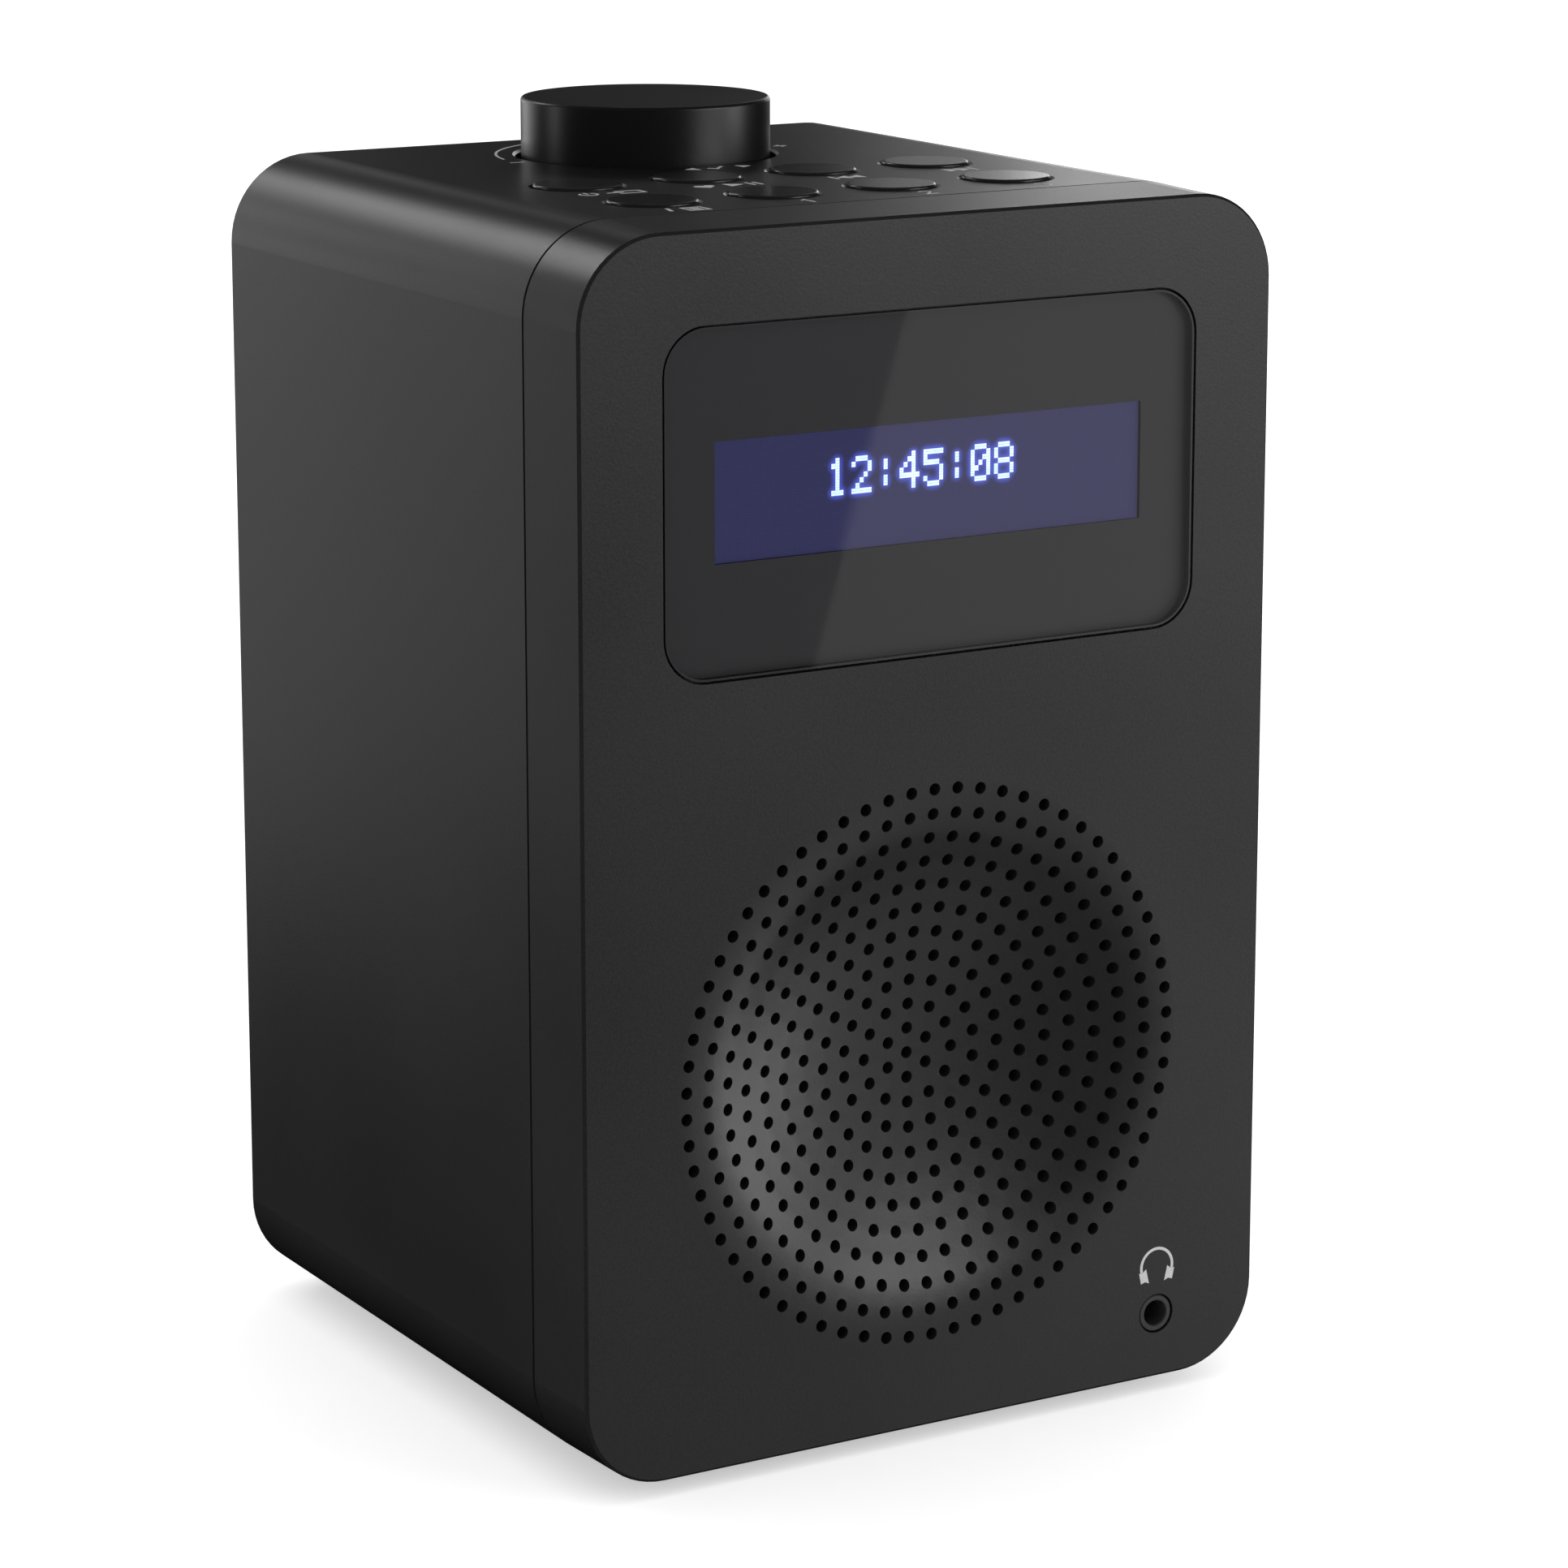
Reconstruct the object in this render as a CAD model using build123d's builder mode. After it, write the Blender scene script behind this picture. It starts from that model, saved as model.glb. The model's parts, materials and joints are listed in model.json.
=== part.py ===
from build123d import *
import os
from math import atan, degrees, sqrt

# Tabletop radio. Lengths in millimetres, +Z up, front towards -Y.
# The origin is on the table, under the middle of the whole object's box.

# ---------------------------------------------------------------- driving sizes
# Cabinet: a front moulding with the face, and a rear moulding with the top, sides and back
front_width = 107.0
front_height = 166.8
front_corner = 11.9
front_depth = 14.2          # from the face back to the parting line
body_depth = 90.6           # from the parting line to the back
flare = 0.35                # the front moulding widens by this on each side up to the parting line
wall = 2.5
face_edge = 0.4             # bevel round the face
back_edge = 0.6             # bevel round the back
seam_gap = 0.5              # shadow line between the two mouldings
outer_skin = 1.4            # wall left outside the tongue
tongue_depth = 3.0
tongue_clearance = 0.15
root = 0.5                  # how far a boss or rib runs into the wall that carries it
skip = 1.0                  # how far a cutting shape runs past the surface it cuts

# Feet
foot_height = 2.0
foot_radius = 6.0
foot_recess = 0.8
foot_clearance = 0.1
foot_x = 34.0
foot_inset = 16.0           # foot centre from the parting line and from the back

# Display window and display module
window_width = 82.45
window_height = 46.65
window_corner = 6.3
window_gap = 0.25           # gap all round the window
window_thickness = 1.2
window_above_face_bottom = 131.15
tape_thickness = 0.3
tape_margin = 0.4
ledge_thickness = 1.7
ledge_rim = 4.0             # how far the thickened pad reaches outside the recess
screen_opening_width = 76.0
screen_opening_height = 34.0
screen_width = 66.2         # visible picture area
screen_height = 16.1
bezel_clearance = 0.4
bezel_sheet = 0.4
glass_thickness = 2.6
backlight_thickness = 2.6
glass_clearance = 0.1
board_thickness = 1.6
display_board_width = 88.0
display_board_height = 45.0
display_boss_x = 41.0
display_boss_z = 20.0
display_boss_radius = 2.3

# Grille dish in the face, and the speaker behind it
speaker_above_face_bottom = 51.3
dish_radius = 34.6          # where the sphere would meet the face
dish_depth = 6.9
dish_blend = 26.0           # radius that rolls the face into the dish
dish_thickness = 2.2
grille_ring_pitch = 3.474
grille_rings = 11
grille_holes_per_ring = 6   # ring n has n times this many holes
grille_start_angle = 30.0
grille_hole = 1.7
collar_inner = 40.3         # ring wall that the speaker seats on
collar_wall = 1.9
collar_end = 11.0
gasket_thickness = 1.0
flange_radius = 42.0
flange_sheet = 1.2
lug_offset = 32.5
lug_radius = 4.0
speaker_boss_radius = 3.2
basket_sheet = 1.2
basket_mouth = 37.2
basket_back = 25.0
basket_depth = 17.4         # from the flange to the back plate
basket_windows = 4
basket_window_start = 45.0
basket_window_length = 34.0
basket_window_width = 8.0
cone_radius = 30.0
cone_thickness = 0.6
cone_depth = 12.6
cone_travel = 1.0
surround_gap = 0.3
surround_roll = 2.5
surround_sheet = 0.5
surround_lip = 1.1
dust_cap_radius = 10.2
dust_cap_rise = 4.6
coil_radius = 8.8           # inside of the voice coil former
coil_former_sheet = 0.3
coil_winding = 0.4
pole_radius = 8.2
plate_hole_radius = 9.9
plate_radius = 23.0
plate_thickness = 3.0
magnet_radius = 25.5
magnet_hole_radius = 12.0
magnet_thickness = 8.0
magnet_bevel = 0.5
pole_vent = 2.5
yoke_thickness = 4.0
spider_outer = 22.0
spider_sheet = 0.5
spider_height = 2.4         # above the back plate

# Headphone socket
jack_x = 37.2
jack_above_face_bottom = 9.35
jack_bore = 3.6
jack_sleeve_diameter = 5.3
jack_face_gap = 0.2
jack_sleeve_recess = 0.15
jack_length = 14.0
jack_housing = 10.0
jack_housing_start = 3.0

# Buttons in the top: two rows of four
button_pitch = 18.53
button_count = 4
button_front_row = 26.8     # depth behind the face
button_back_row = 47.7
button_radius = 6.1
button_rise = 0.4
button_edge = 0.3
button_clearance = 0.3
button_travel = 0.3
button_flange = 1.0
button_flange_width = 1.1
button_flange_gap = 0.15
button_hollow_inner = 2.6
button_hollow_outer = 5.0
button_crown = 1.4          # thickness of the cap over its hollow
opening_bevel = 0.35
stem_radius = 1.7
stem_clearance = 0.1
stem_entry = 1.2            # how far a stem reaches into its switch
switch_size = 6.0
switch_height = 3.4
switch_bore_spare = 0.7     # room left under a pressed stem

# Tuning and volume knob with its encoder
knob_behind_face = 79.0
knob_radius = 17.9
knob_rise = 8.3
knob_edge = 0.5
knob_skirt = 2.0            # how far the knob reaches down into its well
knob_wall = 1.8
knob_crown = 2.5
knob_hub_radius = 5.0
knob_press = 0.5
well_clearance = 0.9        # between the knob and the wall of its well
well_depth = 3.2
well_floor = 2.5
well_rim = 2.0
shaft_radius = 3.0
shaft_clearance = 0.05
shaft_flat = 1.5            # depth of the D flat
bushing_radius = 3.5
bushing_clearance = 0.1
bushing_rise = 2.3          # above the floor of the well
nut_flats = 10.0
nut_thickness = 1.8
encoder_size = 12.0
plunger_thickness = 0.6
plunger_clearance = 0.2
plunger_gap = 0.1           # under the shaft

# Key board under the top
key_board_drop = 10.4       # its upper face below the top
key_board_width = 80.0
key_board_front = 16.5
key_board_back = 96.5
key_boss_x = 36.5
key_boss_inset = 3.4
key_boss_radius = 2.5

# Main board on the back wall
main_board_standoff = 8.0
main_board_width = 82.0
main_board_bottom = 14.0    # above the inside of the floor
main_board_height = 96.0
main_boss_radius = 3.0
main_boss_inset = 5.0
module_width = 32.0
module_height = 24.0
module_thickness = 3.5
heatsink_width = 20.0
heatsink_height = 22.0
heatsink_base = 2.0
heatsink_depth = 12.0
heatsink_fins = 6
heatsink_fin = 1.0
capacitor_radius = 4.0
capacitor_length = 11.0
capacitor_pitch = 10.0
capacitor_count = 3
# places on the main board, from its middle
module_x = 22.0
module_up = 26.0
heatsink_x = 18.0
heatsink_up = -18.0
capacitor_x = -22.0
capacitor_up = 6.0

# Power inlet
inlet_x = -25.0
inlet_above_floor = 26.0
inlet_nose_radius = 3.9
inlet_nose_clearance = 0.2
inlet_bore = 5.7
inlet_bore_depth = 9.2
inlet_pin = 2.0
inlet_pin_setback = 1.0
inlet_recess = 0.3
inlet_body = 11.0

# Screws: shank radius, head radius, head height
case_screw = (1.5, 2.8, 2.2)
board_screw = (1.0, 1.9, 1.3)
cross_recess = 0.5          # share of the head's height
board_screw_length = 6.0

# Case screw posts
post_x = 46.0
post_low = 24.0             # above the face's bottom edge
post_high = 157.8
post_radius = 3.5
post_end = 13.5             # depth of the front posts' ends
tube_radius = 4.25
tube_gap = 0.2
tube_floor = 3.0
tube_bore = 3.2
tube_hole_clearance = 0.15
case_screw_length = 12.0

# Telescopic antenna behind the back, folded down
antenna_x = 40.0
antenna_below_top = 20.0
antenna_radius = 2.5
antenna_wall = 0.35
antenna_clearance = 0.05
antenna_step = 1.0          # each section ends this much lower than the one around it
antenna_travel = 100.0      # how far each section slides out
antenna_overlap = 15.0      # what stays inside the section around it
antenna_solid_root = 2.0
antenna_tip_length = 4.0
antenna_tip_round = 1.0
turret_gap = 0.15
turret_radius = 4.5
turret_thickness = 3.0
turret_bore_depth = 1.8
stud_radius = 2.0
stud_head_radius = 3.2
stud_head_thickness = 1.0
stud_head_clearance = 0.25
fork_slot = 4.4
knuckle_width = 4.0
knuckle_radius = 2.4
fork_radius = 2.6
fork_outer = 4.0            # half the width over the fork's ears
pivot_above_turret = 2.75
antenna_pin_radius = 0.9
neck_length = 3.3           # from the pivot to the tube
stud_nut_flats = 7.0
stud_nut_thickness = 2.4

# Wiring
ribbon_width = 12.0
ribbon_thickness = 0.4
ribbon_bend = 6.0
ribbon_straight = 22.0
ribbon_down = 12.0          # below the middle of the window
display_ribbon_x = -15.0
display_ribbon_up = 40.0    # above the middle of the main board, as for the two below
key_ribbon_x = 12.0
key_ribbon_depth = 84.0
key_ribbon_up = 44.0
lead_radius = 0.7
lead_spacing = 2.4
lead_bend = 16.0
lead_up = 33.0

# ---------------------------------------------------------------- places worked out from the sizes
switch_bore_depth = stem_entry + button_travel + switch_bore_spare
antenna_length = antenna_travel + antenna_overlap
case_depth = front_depth + body_depth
pivot_behind_back = turret_gap + turret_thickness + pivot_above_turret
antenna_proud = pivot_behind_back + antenna_radius
front_y = -(case_depth + antenna_proud) / 2
back_y = front_y + case_depth

body_width = front_width + 2 * flare
body_height = front_height + 2 * flare
body_corner = front_corner + flare
body_bottom = foot_height
body_top = body_bottom + body_height
mid_z = body_bottom + body_height / 2
face_bottom = body_bottom + flare
inner_width = body_width - 2 * wall
inner_height = body_height - 2 * wall
inner_corner = body_corner - wall
floor_z = body_bottom + wall

window_z = face_bottom + window_above_face_bottom
speaker_z = face_bottom + speaker_above_face_bottom
jack_z = face_bottom + jack_above_face_bottom
front_half_gap = front_depth - seam_gap / 2
rear_half_gap = front_depth + seam_gap / 2

button_xs = [(i - (button_count - 1) / 2) * button_pitch for i in range(button_count)]
knob_y = front_y + knob_behind_face
well_radius = knob_radius + well_clearance
board_top = body_top - key_board_drop
ceiling = body_top - wall
well_bottom = body_top - well_depth
well_underside = well_bottom - well_floor
antenna_z = body_top - antenna_below_top
main_board_back = case_depth - wall - main_board_standoff
main_board_face = main_board_back - board_thickness
main_board_z = floor_z + main_board_bottom + main_board_height / 2
inlet_z = floor_z + inlet_above_floor

case_posts = [(x, face_bottom + z) for x in (-post_x, post_x) for z in (post_low, post_high)]
display_posts = [
    (x, window_z + z)
    for x in (-display_boss_x, display_boss_x)
    for z in (-display_boss_z, display_boss_z)
]
speaker_posts = [
    (x, speaker_z + z) for x in (-lug_offset, lug_offset) for z in (-lug_offset, lug_offset)
]
main_posts = [
    (x, main_board_z + z)
    for x in (-(main_board_width / 2 - main_boss_inset), main_board_width / 2 - main_boss_inset)
    for z in (-(main_board_height / 2 - main_boss_inset), main_board_height / 2 - main_boss_inset)
]
key_posts = [
    (x, front_y + depth)
    for x in (-key_boss_x, key_boss_x)
    for depth in (key_board_front + key_boss_inset, key_board_back - key_boss_inset)
]


def behind_face(depth):
    """Plane seen from the front, the given depth behind the face: local X is X, local Y is Z."""
    return Plane(origin=(0, front_y + depth, 0), x_dir=(1, 0, 0), z_dir=(0, -1, 0))


# A half-section of a round piece of the speaker: local X is depth behind the face, local Y is radius
speaker_section = Plane(origin=(0, front_y, speaker_z), x_dir=(0, 1, 0), z_dir=(1, 0, 0))
speaker_axis = Axis(origin=(0, front_y, speaker_z), direction=(0, 1, 0))


def finish(part, name):
    """Labels a finished piece and writes it to parts/."""
    part.label = name
    export_step(part, f"parts/{name}.step")


def screw(size, length):
    """Pan-head screw with a cross recess, its shank down -Z from the seat of its head at the origin."""
    shank, head, height = size
    with BuildPart() as one:
        Cylinder(head, height, align=(Align.CENTER, Align.CENTER, Align.MIN))
        fillet(one.edges().group_by(Axis.Z)[-1], radius=height * 0.35)
        Cylinder(shank, length, align=(Align.CENTER, Align.CENTER, Align.MAX))
        with Locations((0, 0, height)):
            for across in ((head * 1.1, head * 0.3), (head * 0.3, head * 1.1)):
                Box(
                    *across,
                    2 * height * cross_recess,
                    mode=Mode.SUBTRACT,
                )
    return one.part


def seats(points, depth):
    """Screw places on posts that point backwards: heads towards the back."""
    return [
        Plane(origin=(x, front_y + depth, z), x_dir=(1, 0, 0), z_dir=(0, 1, 0)).location
        for x, z in points
    ]


os.makedirs("parts", exist_ok=True)

# ---------------------------------------------------------------- front cabinet
sphere_radius = (dish_radius**2 + dish_depth**2) / (2 * dish_depth)
sphere_centre = dish_depth - sphere_radius
blend_reach = sqrt((sphere_radius + dish_blend) ** 2 - (dish_blend - sphere_centre) ** 2)
meet = sphere_radius / (sphere_radius + dish_blend)
meet_depth = sphere_centre + (dish_blend - sphere_centre) * meet
meet_radius = blend_reach * meet
skin_radius = sphere_radius + dish_thickness
skin_reach = sqrt(skin_radius**2 - (wall - root - sphere_centre) ** 2)
recess_depth = window_thickness + tape_thickness
recess_width = window_width + window_gap
recess_height = window_height + window_gap
ledge_end = recess_depth + ledge_thickness
display_board_start = (
    window_thickness + glass_clearance + bezel_sheet + glass_thickness
    + backlight_thickness + glass_clearance
)
lug_seat = collar_end + gasket_thickness

with BuildPart() as front_cabinet:
    with BuildSketch(behind_face(front_half_gap)):
        with Locations((0, mid_z)):
            RectangleRounded(body_width, body_height, body_corner)
    extrude(amount=front_half_gap, taper=degrees(atan(flare / front_half_gap)))
    chamfer(front_cabinet.faces().sort_by(Axis.Y)[0].edges(), length=face_edge)
    with BuildSketch(behind_face(front_depth)):
        with Locations((0, mid_z)):
            RectangleRounded(front_width - 2 * wall, front_height - 2 * wall, front_corner - wall)
    extrude(amount=front_depth - wall, mode=Mode.SUBTRACT)
    # rabbet for the rear cabinet's tongue
    rabbet = 2 * (outer_skin - tongue_clearance)
    with BuildSketch(behind_face(front_depth)):
        with Locations((0, mid_z)):
            RectangleRounded(body_width - rabbet, body_height - rabbet, body_corner - rabbet / 2)
    extrude(amount=tongue_depth + tongue_clearance + seam_gap, mode=Mode.SUBTRACT)
    # pad that carries the display window, with its recess and the screen opening
    with BuildSketch(behind_face(ledge_end)):
        with Locations((0, window_z)):
            RectangleRounded(recess_width + 2 * ledge_rim, recess_height + 2 * ledge_rim, window_corner)
    extrude(amount=ledge_end - wall + root)
    with BuildSketch(behind_face(recess_depth)):
        with Locations((0, window_z)):
            RectangleRounded(recess_width, recess_height, window_corner + window_gap / 2)
    extrude(amount=recess_depth + skip, mode=Mode.SUBTRACT)
    with BuildSketch(behind_face(ledge_end + skip)):
        with Locations((0, window_z)):
            Rectangle(screen_opening_width, screen_opening_height)
    extrude(amount=ledge_end + 2 * skip, mode=Mode.SUBTRACT)
    # back of the dish, and the ring wall the speaker seats on
    with BuildSketch(speaker_section):
        with BuildLine():
            Line((wall - root, 0), (wall - root, skin_reach))
            RadiusArc((wall - root, skin_reach), (dish_depth + dish_thickness, 0), skin_radius)
            Line((dish_depth + dish_thickness, 0), (wall - root, 0))
        make_face()
    revolve(axis=speaker_axis)
    with BuildSketch(behind_face(collar_end)):
        with Locations((0, speaker_z)):
            Circle(collar_inner + collar_wall)
            Circle(collar_inner, mode=Mode.SUBTRACT)
    extrude(amount=collar_end - wall + root)
    # posts for the case screws, the speaker, the display board and the headphone board
    for points, radius, end in (
        (case_posts, post_radius, post_end),
        (speaker_posts, speaker_boss_radius, lug_seat),
        (display_posts, display_boss_radius, display_board_start),
    ):
        with BuildSketch(behind_face(end)):
            with Locations(*points):
                Circle(radius)
        extrude(amount=end - wall + root)
    for points, (shank, _, _), length, end in (
        (case_posts, case_screw, case_screw_length - tube_floor - tube_gap, post_end),
        (speaker_posts, board_screw, board_screw_length - flange_sheet, lug_seat),
        (display_posts, board_screw, board_screw_length - board_thickness, display_board_start),
    ):
        with BuildSketch(behind_face(end)):
            with Locations(*points):
                Circle(shank)
        extrude(amount=min(length, end - wall / 2), mode=Mode.SUBTRACT)
    # the dish, rolled into the face, and its pattern of holes
    with BuildSketch(speaker_section):
        with BuildLine():
            Line((dish_depth, 0), (-skip, 0))
            Line((-skip, 0), (-skip, blend_reach))
            Line((-skip, blend_reach), (0, blend_reach))
            RadiusArc((0, blend_reach), (meet_depth, meet_radius), -dish_blend)
            RadiusArc((meet_depth, meet_radius), (dish_depth, 0), sphere_radius)
        make_face()
    revolve(axis=speaker_axis, mode=Mode.SUBTRACT)
    with BuildSketch(behind_face(dish_depth + dish_thickness + skip)):
        with Locations((0, speaker_z)):
            Circle(grille_hole / 2)
            for ring in range(1, grille_rings + 1):
                with PolarLocations(
                    ring * grille_ring_pitch, ring * grille_holes_per_ring, grille_start_angle
                ):
                    Circle(grille_hole / 2)
    extrude(amount=dish_depth + dish_thickness + 2 * skip, mode=Mode.SUBTRACT)
    # hole for the headphone socket
    with BuildSketch(behind_face(wall + skip)):
        with Locations((jack_x, jack_z)):
            Circle(jack_sleeve_diameter / 2 + jack_face_gap)
    extrude(amount=wall + 2 * skip, mode=Mode.SUBTRACT)
finish(front_cabinet.part, "front_cabinet")

# ---------------------------------------------------------------- rear cabinet
with BuildPart() as rear_cabinet:
    with BuildSketch(behind_face(case_depth)):
        with Locations((0, mid_z)):
            RectangleRounded(body_width, body_height, body_corner)
    extrude(amount=case_depth - rear_half_gap)
    chamfer(rear_cabinet.faces().sort_by(Axis.Y)[-1].edges(), length=back_edge)
    with BuildSketch(behind_face(case_depth - wall)):
        with Locations((0, mid_z)):
            RectangleRounded(inner_width, inner_height, inner_corner)
    extrude(amount=case_depth, mode=Mode.SUBTRACT)
    # tongue that enters the front cabinet
    with BuildSketch(behind_face(rear_half_gap)):
        with Locations((0, mid_z)):
            RectangleRounded(
                body_width - 2 * outer_skin, body_height - 2 * outer_skin, body_corner - outer_skin
            )
            RectangleRounded(inner_width, inner_height, inner_corner, mode=Mode.SUBTRACT)
    extrude(amount=tongue_depth)
    # floor of the knob's well, and the posts that carry the key board
    with BuildSketch(Plane.XY.offset(well_underside)):
        with Locations((0, knob_y)):
            Circle(well_radius + well_rim)
    extrude(amount=ceiling + root - well_underside)
    with BuildSketch(Plane.XY.offset(board_top)):
        with Locations(*key_posts):
            Circle(key_boss_radius)
    extrude(amount=ceiling + root - board_top)
    # posts for the main board, and the tubes that the case screws are driven down
    with BuildSketch(behind_face(case_depth - wall + root)):
        with Locations(*main_posts):
            Circle(main_boss_radius)
    extrude(amount=main_board_standoff + root)
    tube_start = post_end + tube_gap
    with BuildSketch(behind_face(case_depth - wall + root)):
        with Locations(*case_posts):
            Circle(tube_radius)
    extrude(amount=case_depth - wall + root - tube_start)
    with BuildSketch(behind_face(case_depth + skip)):
        with Locations(*case_posts):
            Circle(tube_bore)
    extrude(amount=case_depth + skip - tube_start - tube_floor, mode=Mode.SUBTRACT)
    with BuildSketch(behind_face(case_depth)):
        with Locations(*case_posts):
            Circle(case_screw[0] + tube_hole_clearance)
    extrude(amount=case_depth - tube_start + skip, mode=Mode.SUBTRACT)
    # pilot holes
    with BuildSketch(Plane.XY.offset(board_top)):
        with Locations(*key_posts):
            Circle(board_screw[0])
    extrude(amount=board_screw_length - board_thickness, mode=Mode.SUBTRACT)
    with BuildSketch(behind_face(main_board_back)):
        with Locations(*main_posts):
            Circle(board_screw[0])
    extrude(amount=-(board_screw_length - board_thickness), mode=Mode.SUBTRACT)
    # the knob's well, and a round opening for each button, all with a bevelled rim
    with BuildSketch(Plane.XY.offset(well_bottom)):
        with Locations((0, knob_y)):
            Circle(well_radius)
    extrude(amount=well_depth + skip, mode=Mode.SUBTRACT)
    with BuildSketch(Plane.XY.offset(well_underside - skip)):
        with Locations((0, knob_y)):
            Circle(bushing_radius + bushing_clearance)
    extrude(amount=well_floor + 2 * skip, mode=Mode.SUBTRACT)
    with BuildSketch(Plane.XY.offset(ceiling - skip)):
        for row in (button_front_row, button_back_row):
            with Locations(*[(x, front_y + row) for x in button_xs]):
                Circle(button_radius + button_clearance)
    extrude(amount=wall + 2 * skip, mode=Mode.SUBTRACT)
    rims = (
        rear_cabinet.edges()
        .filter_by(GeomType.CIRCLE)
        .filter_by(lambda edge: abs(edge.center().Z - body_top) < seam_gap)
        .filter_by(lambda edge: edge.is_closed)
    )
    chamfer(rims, length=opening_bevel)
    # openings in the back for the power inlet and the antenna's stud
    with BuildSketch(behind_face(case_depth + skip)):
        with Locations((inlet_x, inlet_z)):
            Circle(inlet_nose_radius + inlet_nose_clearance)
        with Locations((antenna_x, antenna_z)):
            Circle(stud_radius)
    extrude(amount=wall + 2 * skip, mode=Mode.SUBTRACT)
    # seats for the feet
    foot_places = [
        (x, y)
        for x in (-foot_x, foot_x)
        for y in (front_y + front_depth + foot_inset, back_y - foot_inset)
    ]
    with BuildSketch(Plane.XY.offset(body_bottom - skip)):
        with Locations(*foot_places):
            Circle(foot_radius + foot_clearance)
    extrude(amount=foot_recess + skip, mode=Mode.SUBTRACT)
finish(rear_cabinet.part, "rear_cabinet")

with BuildPart() as feet:
    with BuildSketch(Plane.XY):
        with Locations(*foot_places):
            Circle(foot_radius)
    extrude(amount=foot_height + foot_recess)
    chamfer(feet.edges().group_by(Axis.Z)[0], length=foot_clearance * 4)
finish(feet.part, "feet")

with BuildPart() as cabinet_screws:
    with Locations(*seats(case_posts, tube_start + tube_floor)):
        add(screw(case_screw, case_screw_length))
finish(cabinet_screws.part, "cabinet_screws")

# ---------------------------------------------------------------- display
with BuildPart() as display_window:
    with BuildSketch(behind_face(window_thickness)):
        with Locations((0, window_z)):
            RectangleRounded(window_width - window_gap, window_height - window_gap, window_corner)
    extrude(amount=window_thickness)
    chamfer(display_window.faces().sort_by(Axis.Y)[0].edges(), length=opening_bevel / 3)
finish(display_window.part, "display_window")

with BuildPart() as window_tape:
    with BuildSketch(behind_face(recess_depth)):
        with Locations((0, window_z)):
            RectangleRounded(
                window_width - window_gap - 2 * tape_margin,
                window_height - window_gap - 2 * tape_margin,
                window_corner - tape_margin,
            )
            Rectangle(
                screen_opening_width + 2 * tape_margin,
                screen_opening_height + 2 * tape_margin,
                mode=Mode.SUBTRACT,
            )
    extrude(amount=tape_thickness)
finish(window_tape.part, "window_tape")

frame_width = screen_opening_width - 2 * bezel_clearance
frame_height = screen_opening_height - 2 * bezel_clearance
glass_width = frame_width - 2 * (bezel_sheet + glass_clearance)
glass_height = frame_height - 2 * (bezel_sheet + glass_clearance)
frame_front = window_thickness + glass_clearance
glass_front = frame_front + bezel_sheet
light_front = glass_front + glass_thickness
light_end = light_front + backlight_thickness

with BuildPart() as lcd_frame:
    with BuildSketch(behind_face(light_end)):
        with Locations((0, window_z)):
            Rectangle(frame_width, frame_height)
    extrude(amount=light_end - frame_front)
    with BuildSketch(behind_face(light_end)):
        with Locations((0, window_z)):
            Rectangle(frame_width - 2 * bezel_sheet, frame_height - 2 * bezel_sheet)
    extrude(amount=light_end - glass_front, mode=Mode.SUBTRACT)
    with BuildSketch(behind_face(glass_front)):
        with Locations((0, window_z)):
            Rectangle(screen_width, screen_height)
    extrude(amount=bezel_sheet + skip, mode=Mode.SUBTRACT)
finish(lcd_frame.part, "lcd_frame")

for name, front, thickness in (
    ("lcd_panel", glass_front, glass_thickness),
    ("display_backlight", light_front, backlight_thickness),
):
    with BuildPart() as layer:
        with BuildSketch(behind_face(front + thickness)):
            with Locations((0, window_z)):
                Rectangle(glass_width, glass_height)
        extrude(amount=thickness)
    finish(layer.part, name)

with BuildPart() as display_board:
    with BuildSketch(behind_face(display_board_start + board_thickness)):
        with Locations((0, window_z)):
            RectangleRounded(display_board_width, display_board_height, display_boss_radius)
        with Locations(*display_posts):
            Circle(board_screw[0], mode=Mode.SUBTRACT)
    extrude(amount=board_thickness)
finish(display_board.part, "display_board")

with BuildPart() as display_screws:
    with Locations(*seats(display_posts, display_board_start + board_thickness)):
        add(screw(board_screw, board_screw_length))
finish(display_screws.part, "display_screws")

# ---------------------------------------------------------------- headphone socket
with BuildPart() as jack_sleeve:
    with BuildSketch(behind_face(jack_sleeve_recess + jack_length)):
        with Locations((jack_x, jack_z)):
            Circle(jack_sleeve_diameter / 2)
            Circle(jack_bore / 2, mode=Mode.SUBTRACT)
    extrude(amount=jack_length)
    chamfer(jack_sleeve.faces().sort_by(Axis.Y)[0].edges(), length=jack_sleeve_recess)
finish(jack_sleeve.part, "jack_sleeve")

jack_end = jack_sleeve_recess + jack_length
with BuildPart() as headphone_jack:
    with BuildSketch(behind_face(jack_end)):
        with Locations((jack_x, jack_z)):
            Rectangle(jack_housing, jack_housing)
            Circle(jack_sleeve_diameter / 2, mode=Mode.SUBTRACT)
    extrude(amount=jack_end - jack_housing_start)
finish(headphone_jack.part, "headphone_jack")

with BuildPart() as jack_board:
    with BuildSketch(behind_face(jack_end + board_thickness)):
        with Locations((jack_x, jack_z)):
            Rectangle(jack_housing, jack_housing)
    extrude(amount=board_thickness)
finish(jack_board.part, "jack_board")

# ---------------------------------------------------------------- speaker
flange_front = lug_seat
flange_back = flange_front + flange_sheet
plate_front = flange_front + basket_depth + basket_sheet
plate_back = plate_front + plate_thickness
magnet_back = plate_back + magnet_thickness
yoke_back = magnet_back + yoke_thickness
lip_outer = cone_radius + surround_gap + surround_lip
roll_outer = lip_outer + 2 * surround_roll

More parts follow.
